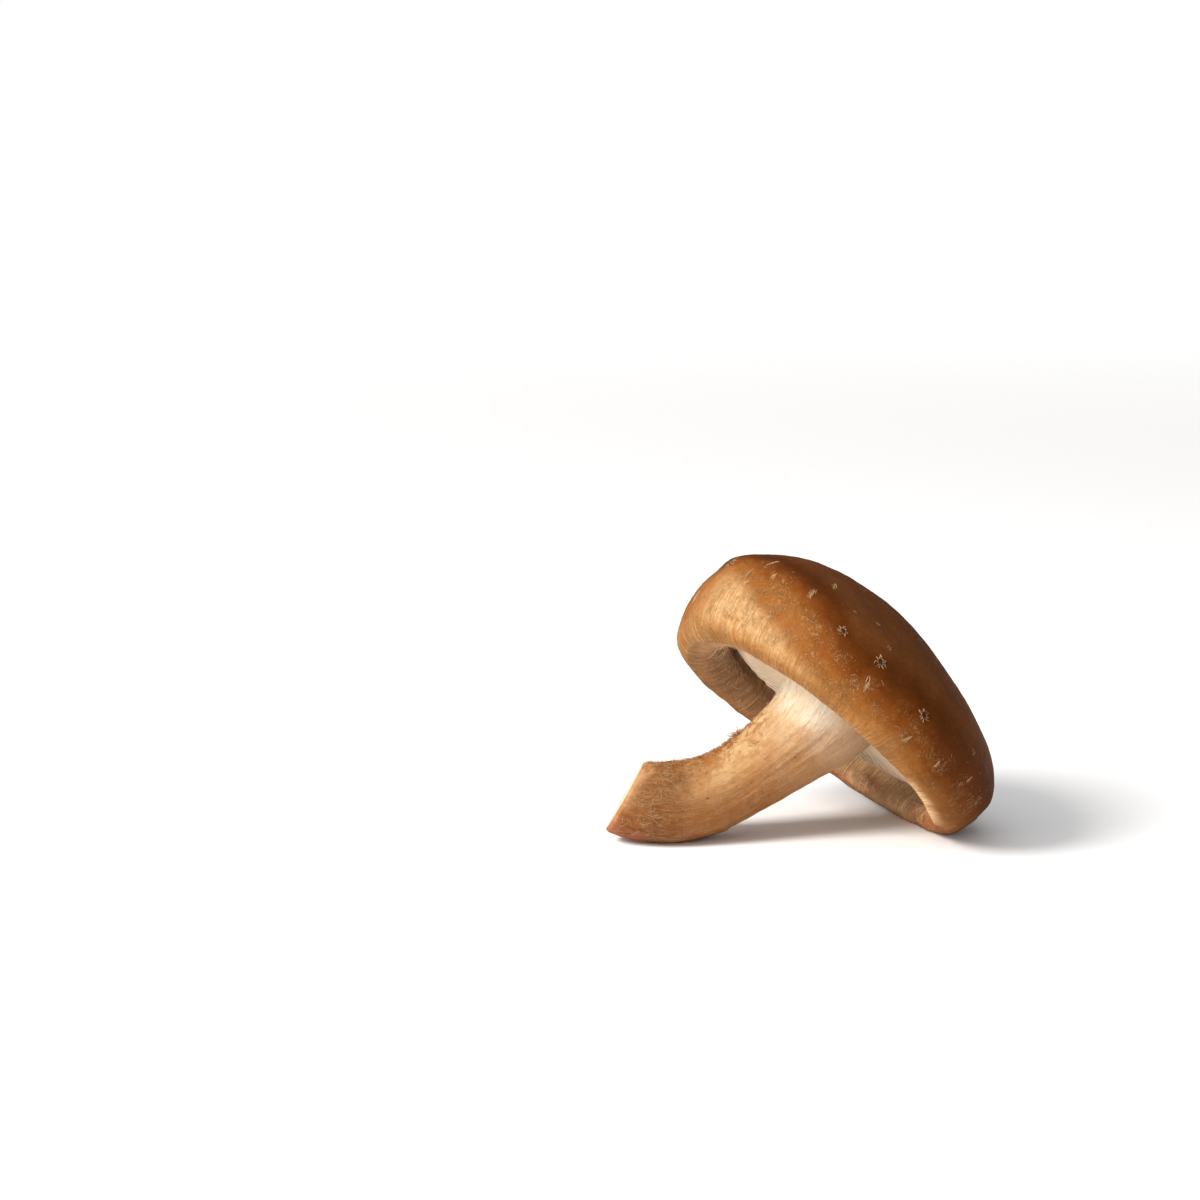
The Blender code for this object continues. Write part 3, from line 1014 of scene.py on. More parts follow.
def build_coat() -> NodeTree:
    """Tree that grows small strands all over a surface, as thick as its attribute fuzz says."""
    numbers = ((name, FLOAT) for name in ("Density", "Least size", "Greatest size", "Lean"))
    g, given = modelling_tree(Tool.COAT, (("Strand", OBJECT), *numbers, ("Seed", INTEGER)))
    density = g.product(stored(g, "fuzz"), given["Density"])
    feeds = {"Mesh": given["Geometry"], "Density": density, "Seed": given["Seed"]}
    spots = g.node("GeometryNodeDistributePointsOnFaces", feeds, distribute_method="RANDOM").outputs
    stray = g.random("FLOAT_VECTOR", (-1.0, -1.0, -1.0), (1.0, 1.0, 1.0), 3)
    way = g.vector("ADD", spots["Normal"], g.scaled(stray, given["Lean"]))
    upright = g.node("FunctionNodeAlignRotationToVector", {"Vector": way}, axis="Z").outputs[0]
    spin = g.joined(z=g.random("FLOAT", 0.0, math.tau, 5))
    turned = g.node("FunctionNodeRotateRotation", {0: upright, 1: spin}, rotation_space="LOCAL").outputs[0]
    size = g.random("FLOAT", given["Least size"], given["Greatest size"], 7)
    strand = g.node("GeometryNodeObjectInfo", {"Object": given["Strand"]}).outputs["Geometry"]
    feeds = {"Points": spots["Points"], "Instance": strand, "Rotation": turned, "Scale": size}
    grown = g.node("GeometryNodeInstanceOnPoints", feeds).outputs[0]
    feeds = {"Geometry": grown, "Name": "tint", "Value": g.random("FLOAT", 0.0, 1.0, 9)}
    tinted = g.node("GeometryNodeStoreNamedAttribute", feeds, data_type="FLOAT", domain="INSTANCE").outputs[0]
    return end_tree(g, tinted, given["Material"])


Step = tuple[Tool, dict[str, object]]  # a modelling tree and its own input values


class Workshop:
    """Keeps the modelling trees and runs them on objects."""

    def __init__(self) -> None:
        """Builds each tree once."""
        self.trees = {
            Tool.SWEEP: build_sweep(),
            Tool.RING: build_ring(),
            Tool.SETTLE: build_settle(),
            Tool.COAT: build_coat(),
        }

    def apply(self, item: Object, material: Material, steps: Sequence[Step]) -> None:
        """Runs trees on an object in turn and leaves their result as its plain mesh.

        Args:
            item: The object to work on.
            material: Its finish.
            steps: The trees, in the order in which they run.
        """
        for tool, values in steps:
            tree = self.trees[tool]
            work = item.modifiers.new(tool.value, "NODES")
            work.node_group = tree
            given = values | {"Material": material}
            for socket in tree.interface.items_tree:
                if socket.item_type == "SOCKET" and socket.in_out == "INPUT" and socket.name in given:
                    work[socket.identifier] = given[socket.name]
        seen = item.evaluated_get(bpy.context.evaluated_depsgraph_get())
        made = bpy.data.meshes.new_from_object(seen)
        item.modifiers.clear()
        old = item.data
        item.data = made
        bpy.data.meshes.remove(old)


# Strands, as lines of points before they are swept


@dataclass(frozen=True)
class StrandKind:
    """What a kind of strand is like, in millimetres and radians; a pair is its least and greatest value."""

    length: tuple[float, float]
    girth: tuple[float, float]
    curl: float
    rise: float = 0.05  # how high its middle arches
    tip: float = 0.0  # how high its end stands up
    base: float = 0.0  # height of its root over the surface
    tint: tuple[float, float] = (0.0, 1.0)
    taper: float = 0.25
    steps: int = 6


class StrandBundle:
    """Collects strands as lines of points with a thickness and a tint."""

    def __init__(self, name: str) -> None:
        """Starts empty."""
        self.name = name
        self.points: list[Vector] = []
        self.edges: list[tuple[int, int]] = []
        self.girths: list[float] = []
        self.tints: list[float] = []

    def add(self, line: Sequence[Vector], girth: float, tint: float, taper: float = 0.25) -> None:
        """Adds one strand, held above the surface that the mushroom lies on.

        Args:
            line: Its points from root to tip.
            girth: Its radius in the middle, in metres.
            tint: From 0, the light tone, to 1, the dark one.
            taper: Share of the girth that is left at the two ends.
        """
        first, last = len(self.points), len(line) - 1
        for k, point in enumerate(line):
            swell = taper + (1.0 - taper) * math.sin(math.pi * (k + 0.5) / (last + 1)) ** 0.6
            self.points.append(Vector((point.x, point.y, max(point.z, girth))))
            self.girths.append(girth * swell)
            self.tints.append(tint)
        self.edges += [(first + k, first + k + 1) for k in range(last)]

    def lay(
        self,
        grid: SurfaceGrid,
        kind: StrandKind,
        share: float,
        angle: float,
        heading: float,
        draw: random.Random,
    ) -> None:
        """Lays one strand of a kind on a surface.

        Args:
            grid: The surface.
            kind: What the strand is like.
            share: How far along the surface it starts.
            angle: How far round it starts, in radians.
            heading: The way it sets out, from 0 round the surface to a quarter turn along it.
            draw: Source of its random values.
        """
        length = draw.uniform(*kind.length) * MM
        turn = kind.curl * draw.uniform(-1.0, 1.0)
        rise, tip = kind.rise * draw.uniform(0.4, 1.0), kind.tip * draw.uniform(0.3, 1.0)
        line = []
        for k in range(kind.steps + 1):
            part = k / kind.steps
            point, normal, _, _ = grid.axes(share, angle)
            high = kind.base + rise * math.sin(math.pi * part) + tip * part**2
            line.append(point + normal * high * MM)
            heading += (turn + draw.uniform(-0.5, 0.5) * kind.curl) / kind.steps
            share, angle = grid.beside(share, angle, heading, length / kind.steps)
        self.add(line, draw.uniform(*kind.girth) * MM, draw.uniform(*kind.tint), kind.taper)

    def build(self, workshop: Workshop, material: Material, sides: int = 4) -> Object:
        """Sweeps the strands into a mesh object."""
        mesh = bpy.data.meshes.new(self.name)
        mesh.from_pydata(self.points, self.edges, [])
        store_numbers(mesh, "girth", self.girths)
        store_numbers(mesh, "tint", self.tints)
        item = new_object(self.name, mesh)
        workshop.apply(item, material, [(Tool.SWEEP, {"Sides": sides})])
        return item


# Cap


@dataclass(frozen=True)
class CapForm:
    """The cap's form, as the solid has it, in millimetres and degrees.

    Its own frame has X towards its lowest side and Z out of the top of the dome. Angles run from X,
    anticlockwise seen from the top.
    """

    centre: tuple[float, float, float] = (44.9, 5.6, 21.35)
    lean: float = 42.0
    bearing: float = 25.0
    outer: tuple[tuple[float, float, float], ...] = (
        (0.0, 30.9, 0.0),
        (7.0, 30.4, 0.0),
        (14.0, 28.9, 0.0),
        (21.0, 26.4, 0.0),
        (28.0, 22.8, 0.05),
        (33.5, 19.1, 0.15),
        (36.3, 15.1, 0.3),
        (37.9, 10.8, 0.5),
        (37.2, 5.6, 0.75),
        (35.2, 1.6, 0.95),
        (31.8, 0.0, 1.0),
    )
    inner: tuple[tuple[float, float, float], ...] = (
        (31.8, 0.0, 1.0),
        (29.8, 0.8, 0.7),
        (29.0, 2.7, 0.15),
        (29.5, 4.9, 0.1),
        (29.8, 7.2, 0.1),
        (29.2, 9.4, 0.1),
        (27.4, 10.8, 0.0),
    )
    bed: tuple[tuple[float, float], ...] = ((27.4, 10.8), (18.0, 9.9), (0.0, 8.0))
    lip_roll: tuple[float, ...] = (0.0, 0.2, 1.0, 2.6, 3.0, 1.6, 0.4, 0.0)
    lip_reach: float = 5.0
    margin_rise: tuple[float, ...] = (0.0, 0.2, -1.9, -2.9, 0.6, 1.2, 0.5, -0.8)
    out_of_round: float = 0.006
    out_of_round_turn: float = -15.0
    apex_shift: float = 6.6
    apex_turn: float = 154.0
    apex_from: float = 10.5
    apex_to: float = 31.0

    def frame(self) -> Matrix:
        """The matrix from the cap's frame to the world."""
        bearing = Matrix.Rotation(math.radians(self.bearing), 4, "Z")
        lean = Matrix.Rotation(math.radians(self.lean), 4, "Y")
        return Matrix.Translation(Vector(self.centre) * MM + SET_OUT_SHIFT) @ (bearing @ lean)

    def point(self, radius: float, height: float, follow: float, angle: float) -> Vector:
        """Where a point of the section comes in the cap's frame.

        Args:
            radius: Its distance from the axis, in metres.
            height: Its height, in metres.
            follow: How far it follows the margin's waves, from 0 to 1.
            angle: The way round, in radians.

        Returns:
            The point, with the cap's unevenness.
        """
        radius *= 1.0 + self.out_of_round * math.cos(2.0 * (angle - math.radians(self.out_of_round_turn)))
        height += follow * round_wave(self.margin_rise, angle) * MM
        shift = self.apex_shift * MM * smooth_step(self.apex_from * MM, self.apex_to * MM, height)
        turn = math.radians(self.apex_turn)
        across = Vector((radius * math.cos(angle), radius * math.sin(angle), height))
        return across + Vector((math.cos(turn), math.sin(turn), 0.0)) * shift

    def lip_share(self, row: Vector) -> float:
        """How far a point of the inner wall follows the roll of the lip."""
        away = math.hypot(row.x - self.inner[2][0] * MM, row.y - self.inner[2][1] * MM)
        return smooth_step(self.lip_reach * MM, 0.0, away)

    def surface(self, row: Vector, angle: float) -> Vector:
        """World point for a row of the section, which is radius, height and follow in metres."""
        roll = round_wave(self.lip_roll, angle) * MM * self.lip_share(row)
        return self.frame() @ self.point(row.x - roll, row.y + roll / 2.0, row.z / MM, angle)


@dataclass
class CapBody:
    """The dome, its rolled-in margin and the flesh that the gills hang from."""

    form: CapForm
    sectors: int = 360
    outer_rings: int = 190
    inner_rings: int = 40
    bed_rings: int = 10
    # Heights of the broad unevenness, the soft folds that run to the margin and the grain, in millimetres.
    swell: float = 0.28
    pucker: float = 0.16
    grain: float = 0.05

    def rows(self) -> tuple[list[Vector], list[float]]:
        """Rows of the section, and the share of the way from apex to lip at each: over 1 on the inside."""
        outer = evenly([Vector(row) * MM for row in self.form.outer], self.outer_rings)
        inner = evenly([Vector(row) * MM for row in self.form.inner], self.inner_rings)
        bed = evenly([Vector((r, h, 0.0)) * MM for r, h in self.form.bed], self.bed_rings)
        rows = outer[1:] + inner[1:] + bed[1:-1]
        full = sum((b.xy - a.xy).length for a, b in zip(outer, outer[1:]))
        reach, travelled, before = [], 0.0, outer[0]
        for row in rows:
            travelled += (row.xy - before.xy).length
            reach.append(travelled / full)
            before = row
        return rows, reach

    def relief(self, point: Vector, reach: float, angle: float) -> float:
        """Height of the surface over its smooth form, in metres."""
        around = Vector((math.cos(angle), math.sin(angle), reach))
        high = self.swell * (wobble(point, 11.0 * MM, 1.0) + 0.4 * wobble(point, 4.0 * MM, 5.0))
        near = smooth_step(0.55, 0.85, reach)
        fold = wobble(around * Vector((9.0, 9.0, 3.5)), 1.0, 3.0)
        ripple = wobble(around * Vector((24.0, 24.0, 7.0)), 1.0, 8.0)
        high += self.pucker * near * (fold + 0.45 * ripple)
        grain = self.grain * wobble(point, 1.1 * MM, 2.0)
        inside = 1.0 - 0.6 * smooth_step(1.0, 1.1, reach)
        return (high + grain) * inside * MM

    def build(self, skin: Material, flesh: Material) -> tuple[Object, SurfaceGrid]:
        """Builds the cap.

        Args:
            skin: Finish of the outside and of the margin's inner wall.
            flesh: Finish of the bed of the gills.

        Returns:
            The cap as one closed piece, and its surface, whose share is 0 at the apex and 1 at the lip.
        """
        rows, reach = self.rows()
        angles = [math.tau * j / self.sectors for j in range(self.sectors)]
        rings = [[self.form.surface(row, angle) for angle in angles] for row in rows]
        bm = bmesh.new()
        skin_rows = ring_skin(bm, rings)
        frame = self.form.frame()
        top = frame @ self.form.point(0.0, self.form.outer[0][1] * MM, 0.0, 0.0)
        bottom = frame @ self.form.point(0.0, self.form.bed[-1][1] * MM, 0.0, 0.0)
        close_end(bm, skin_rows[0], top, False)
        close_end(bm, skin_rows[-1], bottom, True)
        bm.normal_update()
        places = []
        bed_from = len(rows) - self.bed_rings + 1
        for k, line in enumerate(skin_rows):
            for angle, vertex in zip(angles, line):
                if k < bed_from:
                    vertex.co += vertex.normal * self.relief(vertex.co, reach[k], angle)
                places.append(Vector((math.cos(angle), math.sin(angle), reach[k])))
        places += [Vector((0.0, 0.0, 0.0)), Vector((0.0, 0.0, reach[-1]))]
        for vertex in bm.verts:
            vertex.co.z = max(vertex.co.z, 0.0)
        grid = SurfaceGrid([[vertex.co.copy() for vertex in line] for line in skin_rows], reach)
        bm.faces.ensure_lookup_table()
        for face in bm.faces[bed_from * self.sectors : (len(rows) - 1) * self.sectors]:
            face.material_index = 1
        for face in bm.faces[-self.sectors :]:
            face.material_index = 1
        mesh = mesh_from(bm, "cap")
        store_vectors(mesh, "place", places)
        # The bed between the gills' roots takes the gill flesh's deepest painted shade.
        store_numbers(mesh, "depth", [1.0] * len(mesh.vertices))
        mesh.materials.append(skin)
        mesh.materials.append(flesh)
        return new_object("cap", mesh), grid


@dataclass(frozen=True)
class Mark:
    """A blemish or a loose group of strands on a surface."""

    side: float  # degrees round
    share: float  # of the way along
    size: float  # its width or its spread, in millimetres
    count: int = 0  # strands in a group

    @property
    def angle(self) -> float:
        """Its way round in radians."""
        return math.radians(self.side)


@dataclass(frozen=True)
class CapMarks:
    """Star-shaped scars, torn flecks and fine fibrils on the cap's skin."""

    grid: SurfaceGrid
    scars: tuple[Mark, ...] = (
        Mark(229.0, 0.708, 2.5),
        Mark(244.0, 0.718, 2.9),
        Mark(264.0, 0.770, 2.7),
        Mark(289.0, 0.733, 1.6),
        Mark(231.0, 0.593, 1.0),
        Mark(241.0, 0.557, 1.1),
        Mark(246.0, 0.642, 1.3),
        Mark(202.0, 0.593, 0.8),
    )
    flecks: tuple[Mark, ...] = (
        Mark(191.0, 0.595, 2.4),
        Mark(186.0, 0.703, 3.0),
        Mark(197.0, 0.665, 1.8),
        Mark(214.0, 0.652, 3.4),
        Mark(218.0, 0.502, 2.8),
        Mark(244.0, 0.818, 2.6),
        Mark(265.0, 0.870, 2.4),
        Mark(279.0, 0.858, 1.6),
        Mark(294.0, 0.812, 1.6),
    )
    patches: tuple[Mark, ...] = (
        Mark(196.0, 0.77, 4.5, 34),
        Mark(206.0, 0.80, 4.5, 46),
        Mark(214.0, 0.84, 3.5, 26),
        Mark(224.0, 0.80, 3.0, 14),
        Mark(233.0, 0.80, 3.0, 16),
        Mark(240.0, 0.85, 3.5, 30),
        Mark(250.0, 0.86, 3.0, 12),
        Mark(263.0, 0.88, 3.0, 20),
        Mark(282.0, 0.86, 3.0, 18),
        Mark(293.0, 0.84, 3.5, 26),
    )
    # The sides that the photo hides get marks of the same kinds at random, between these angles.
    hidden: tuple[float, float] = (305.0, 530.0)
    hidden_scars: int = 9
    hidden_flecks: int = 14
    hidden_patches: int = 22
    petals: int = 13  # torn points round a scar
    shreds: int = 15  # strands in a fleck
    fullness: float = 1.5  # what each patch's number of fibrils is multiplied by
    seed: int = 21

    def spread_out(
        self, count: int, reaches: tuple[float, float], sizes: tuple[float, float], draw: random.Random
    ) -> list[Mark]:
        """Random marks on the hidden sides."""
        ranges = (self.hidden, reaches, sizes)
        return [Mark(*(draw.uniform(*between) for between in ranges)) for _ in range(count)]

    def scar(self, bundle: StrandBundle, mark: Mark, draw: random.Random) -> None:
        """A ring of torn points of skin round a hollow."""
        size = mark.size
        kind = StrandKind(
            length=(0.10 * size, 0.44 * size),
            girth=(0.030 * size, 0.060 * size),
            curl=1.5,
            rise=0.06 * size,
            base=0.02,
            tint=(0.25, 0.9),
            taper=0.15,
            steps=4,
        )
        for n in range(self.petals):
            way = math.tau * (n + draw.uniform(-0.3, 0.3)) / self.petals
            away = draw.uniform(0.20, 0.28) * size * MM
            start = self.grid.beside(mark.share, mark.angle, way, away)
            bundle.lay(self.grid, kind, *start, way, draw)
        for n in range(self.petals):
            way = math.tau * n / self.petals
            start = self.grid.beside(mark.share, mark.angle, way, 0.22 * size * MM)
            across = replace(kind, length=(0.16 * size, 0.26 * size), tint=(0.5, 1.0))
            bundle.lay(self.grid, across, *start, way + math.pi / 2.0, draw)

    def hollows(self, marks: Sequence[Mark], finish: Material) -> Object:
        """The dark middles of the scars, as small low lenses."""
        bm = bmesh.new()
        for mark in marks:
            centre, normal, _, _ = self.grid.axes(mark.share, mark.angle)
            rim = []
            for n in range(12):
                away = 0.27 * mark.size * (1.0 + 0.22 * math.sin(2.0 * n + mark.side))
                spot = self.grid.beside(mark.share, mark.angle, math.tau * n / 12.0, away * MM)
                rim.append(bm.verts.new(self.grid.point(*spot) + normal * 0.015 * MM))
            top = bm.verts.new(centre + normal * 0.05 * MM)
            below = bm.verts.new(centre - normal * 0.2 * MM)
            for a, b in zip(rim, rim[1:] + rim[:1]):
                bm.faces.new((top, a, b))
                bm.faces.new((below, b, a))
        bmesh.ops.recalc_face_normals(bm, faces=bm.faces)
        mesh = mesh_from(bm, "scar_hollows")
        mesh.materials.append(finish)
        return new_object("scar_hollows", mesh)

    def fleck(self, bundle: StrandBundle, mark: Mark, draw: random.Random) -> None:
        """A narrow torn patch of pale skin that runs towards the margin."""
        kind = StrandKind(
            length=(0.30 * mark.size, 0.75 * mark.size),
            girth=(0.06, 0.13),
            curl=0.5,
            rise=0.05,
            tip=0.06,
            tint=(0.0, 0.6),
            taper=0.10,
        )
        run = math.radians(draw.uniform(70.0, 110.0))
        for _ in range(self.shreds):
            back = draw.uniform(-0.75, 0.05) * mark.size * MM
            start = self.grid.beside(mark.share, mark.angle, run, back)
            aside = draw.gauss(0.0, 0.09) * mark.size * MM
            start = self.grid.beside(*start, run + math.pi / 2.0, aside)
            bundle.lay(self.grid, kind, *start, run + draw.gauss(0.0, 0.16), draw)

    def build(self, workshop: Workshop, scar: Material, hollow: Material, fibril: Material) -> list[Object]:
        """Builds all the marks.

        Args:
            workshop: The modelling trees.
            scar: Finish of the scars' points and of the flecks.
            hollow: Finish of the scars' middles.
            fibril: Finish of the fine fibrils.

        Returns:
            The pieces.
        """
        draw = random.Random(self.seed)
        scars = [*self.scars, *self.spread_out(self.hidden_scars, (0.30, 0.80), (0.9, 2.8), draw)]
        flecks = [*self.flecks, *self.spread_out(self.hidden_flecks, (0.40, 0.88), (1.4, 3.2), draw)]
        torn = StrandBundle("torn_skin")
        for mark in scars:
            self.scar(torn, mark, draw)
        for mark in flecks:
            self.fleck(torn, mark, draw)
        fine = StrandBundle("skin_fibrils")
        kind = StrandKind(length=(0.3, 1.4), girth=(0.024, 0.050), curl=2.0, rise=0.05, base=0.01, taper=0.3)
        patches = list(self.patches)
        for mark in self.spread_out(self.hidden_patches, (0.70, 0.90), (2.5, 4.5), draw):
            patches.append(replace(mark, count=draw.randint(10, 26)))
        for patch in patches:
            for _ in range(int(patch.count * self.fullness)):
                away = patch.size * abs(draw.gauss(0.0, 0.6)) * MM
                start = self.grid.beside(patch.share, patch.angle, draw.uniform(0.0, math.tau), away)
                fine.lay(self.grid, kind, *start, draw.uniform(0.0, math.tau), draw)
        return [
            torn.build(workshop, scar),
            self.hollows(scars, hollow),
            fine.build(workshop, fibril, 3),
        ]


@dataclass(frozen=True)
class Lining:
    """Fuzz on the lip and the inner wall, and the torn threads of the veil beside the gills."""

    grid: SurfaceGrid
    # Where the fuzz starts, is full and ends, as shares of the way from apex to lip.
    fuzz_from: float = 0.985
    fuzz_full: float = 1.06
    fuzz_to: float = 1.215
    fuzz_columns: int = 180
    fuzz_rows: int = 26
    hairs: float = 6.0  # for each square millimetre
    hair_length: float = 1.0
    hair_girth: float = 0.030
    # On these two sides, in degrees, the lip is bare, and fuzz only covers it between these two shares.
    far_side: float = 98.0
    near_side: float = 275.0
    bare_to: tuple[float, float] = (1.05, 1.12)
    threads: int = 640
    thread_band: tuple[float, float] = (1.042, 1.205)
    # Two threads in three hang where the veil tore last: about this side, with this spread.
    torn_side: float = 132.0
    torn_spread: float = 16.0
    seed: int = 31

    def hair(self) -> Object:
        """One bent hair that stands along Z, to be repeated."""
        bm = bmesh.new()
        rings = []
        for part, across in ((0.0, 1.0), (0.55, 0.7)):
            girth = self.hair_girth * across
            middle = Vector((0.35 * part**2, 0.0, part)) * self.hair_length
            turns = [math.tau * n / 3.0 for n in range(3)]
            rings.append([(middle + Vector((math.cos(t), math.sin(t), 0.0)) * girth) * MM for t in turns])
        rows = ring_skin(bm, rings)
        close_end(bm, rows[-1], Vector((0.42, 0.0, 0.95)) * self.hair_length * MM, False)
        bmesh.ops.recalc_face_normals(bm, faces=bm.faces)
        return new_object("hair", mesh_from(bm, "hair"))

    def fuzz(self, workshop: Workshop, material: Material) -> Object:
        """The short fuzz, grown on a copy of the lining."""
        angles = [math.tau * j / self.fuzz_columns for j in range(self.fuzz_columns)]
        step = (self.fuzz_to - self.fuzz_from) / self.fuzz_rows
        shares = [self.fuzz_from + step * k for k in range(self.fuzz_rows + 1)]
        bm = bmesh.new()
        ring_skin(bm, [[self.grid.point(share, angle) for angle in angles] for share in shares])
        mesh = mesh_from(bm, "lining_fuzz")
        spots = ((share, angle) for share in shares for angle in angles)
        fuzz = [self.thickness(*spot, vertex.co.z) for spot, vertex in zip(spots, mesh.vertices)]
        store_numbers(mesh, "fuzz", fuzz)
        item = new_object("lining_fuzz", mesh)
        hair = self.hair()
        values = {
            "Strand": hair,
            "Density": self.hairs / MM**2,
            "Least size": 0.35,
            "Greatest size": 0.95,
            "Lean": 0.9,
            "Seed": self.seed,
        }
        workshop.apply(item, material, [(Tool.COAT, values)])
        remove_objects([hair])
        return item

    def thickness(self, share: float, angle: float, height: float) -> float:
        """How much of the full fuzz grows at a point, from 0 to 1.

        Args:
            share: How far along the cap's surface it is.
            angle: How far round, in radians.
            height: How high above what the mushroom lies on, where no hair may reach.

        Returns:
            The share of the full fuzz.
        """
        far = smooth_step(0.1, 0.7, math.cos(angle - math.radians(self.far_side)))
        near = smooth_step(0.2, 0.8, math.cos(angle - math.radians(self.near_side)))
        bare = max(far, near) * smooth_step(self.bare_to[1], self.bare_to[0], share)
        tallest = self.hair_length * MM
        clear = smooth_step(0.6 * tallest, 1.6 * tallest, height)
        return smooth_step(self.fuzz_from, self.fuzz_full, share) * (1.0 - bare) * clear

    def veil(self, workshop: Workshop, material: Material) -> Object:
        """Torn threads that lie along the inner wall and curl off it."""
        draw = random.Random(self.seed)
        bundle = StrandBundle("veil_threads")
        kind = StrandKind(
            length=(1.0, 3.6), girth=(0.026, 0.064), curl=2.2, rise=0.4, tip=0.6, taper=0.3, steps=8
        )
        for k in range(self.threads):
            angle = draw.gauss(self.torn_side, self.torn_spread) if k % 3 else draw.uniform(0.0, 360.0)
            heading = math.radians(draw.gauss(0.0, 35.0)) + draw.choice((0.0, math.pi))
            bundle.lay(self.grid, kind, draw.uniform(*self.thread_band), math.radians(angle), heading, draw)
        return bundle.build(workshop, material, 3)


@dataclass
class Gills:
    """Thin blades under the cap, in three lengths set between each other, in millimetres."""

    form: CapForm
    thickness: float = 0.36
    edge_thickness: float = 0.22
    root: float = 1.0  # how deep a blade is sunk in the flesh
    notch: float = 0.12  # how uneven its free edge is
    bend: float = 0.9  # how far a blade sways to a side
    bends: float = 120.0  # how closely the sways follow each other, for each metre
    long_count: int = 48
    columns: int = 14
    rows: int = 4
    wander: float = 0.35  # degrees by which a blade is out of its even place
    # Free edges, as radius and height, from the inner end to the margin's wall.
    long_edge: tuple[tuple[float, float], ...] = (
        (7.0, 7.2),
        (9.5, 6.0),
        (13.0, 5.1),
        (20.0, 5.2),
        (24.0, 5.5),
        (27.5, 6.8),
        (30.2, 8.5),
    )
    middle_edge: tuple[tuple[float, float], ...] = (
        (14.2, 10.0),
        (16.0, 7.4),
        (18.5, 5.6),
        (24.0, 5.6),
        (27.5, 6.9),
        (30.2, 8.5),
    )
    short_edge: tuple[tuple[float, float], ...] = (
        (20.0, 10.6),
        (21.5, 7.9),
        (23.6, 6.3),
        (27.0, 6.8),
        (30.2, 8.5),
    )

    def bed_height(self, radius: float) -> float:
        """Height of the bed at a radius, in millimetres."""
        table = sorted(self.form.bed)
        for (r0, h0), (r1, h1) in zip(table, table[1:]):
            if radius <= r1:
                break
        share = min(max((radius - r0) / (r1 - r0), 0.0), 1.0)
        return h0 + (h1 - h0) * share

    def blade(self, name: str, edge: Sequence[tuple[float, float]], seed: int) -> Object:
        """One blade that lies along X, thin at its free edge.

        Args:
            name: Name of the helper object.
            edge: Its free edge, as radius and height in millimetres.
            seed: For the small notches along its edge.

        Returns:
            The blade as a helper object.
        """
        draw = random.Random(seed)
        line = evenly([Vector((r, h, 0.0)) for r, h in edge], self.columns, 200)
        bm = bmesh.new()
        sides: list[list[list[BMVert]]] = [[], []]
        depths: list[float] = []
        for k, spot in enumerate(line):
            notch = draw.uniform(-self.notch, self.notch) if 0 < k < self.columns else 0.0
            top = self.bed_height(spot.x) + self.root
            for which, hand in enumerate((-1.0, 1.0)):
                column = []
                for j in range(self.rows + 1):
                    share = (j / self.rows) ** 1.5
                    height = (spot.y + notch) * (1.0 - share) + top * share
                    wider = (self.thickness - self.edge_thickness) * min(share * 3.0, 1.0)
                    aside = hand * (self.edge_thickness + wider) / 2.0
                    column.append(bm.verts.new(Vector((spot.x, aside, height)) * MM))
                    depths.append(share)
                sides[which].append(column)
        left, right = sides
        for k in range(self.columns):
            for j in range(self.rows):
                bm.faces.new((left[k][j], left[k + 1][j], left[k + 1][j + 1], left[k][j + 1]))
                bm.faces.new((right[k][j], right[k][j + 1], right[k + 1][j + 1], right[k + 1][j]))
            bm.faces.new((left[k][0], right[k][0], right[k + 1][0], left[k + 1][0]))
        for j in range(self.rows):
            bm.faces.new((left[0][j], left[0][j + 1], right[0][j + 1], right[0][j]))
        mesh = mesh_from(bm, name)
        store_numbers(mesh, "depth", depths)
        return new_object(name, mesh)

    def build(self, workshop: Workshop, flesh: Material) -> Object:
        """Builds the ring of gills with Geometry Nodes."""
        step = math.tau / self.long_count
        plan = (
            (self.blade("long blade", self.long_edge, 3), self.long_count, 0.0, 11),
            (self.blade("middle blade", self.middle_edge, 5), self.long_count, step / 2.0, 12),
            (self.blade("short blade", self.short_edge, 7), self.long_count * 2, step / 4.0, 13),
        )
        steps: list[Step] = []
        for blade, count, first, seed in plan:
            values = {"Blade": blade, "Count": count, "First turn": first, "Seed": seed}
            steps.append((Tool.RING, values | {"Wander": math.radians(self.wander)}))
        frame = self.form.frame()
        values = {
            "Bend": self.bend * MM,
            "Bend size": self.bends,
            "Place": tuple(frame.translation),
            "Turn": tuple(frame.to_euler()),
        }
        steps.append((Tool.SETTLE, values))
        item = new_object("gills", bpy.data.meshes.new("gills"))
        workshop.apply(item, flesh, steps)
        remove_objects([row[0] for row in plan])
        return item


# Stem


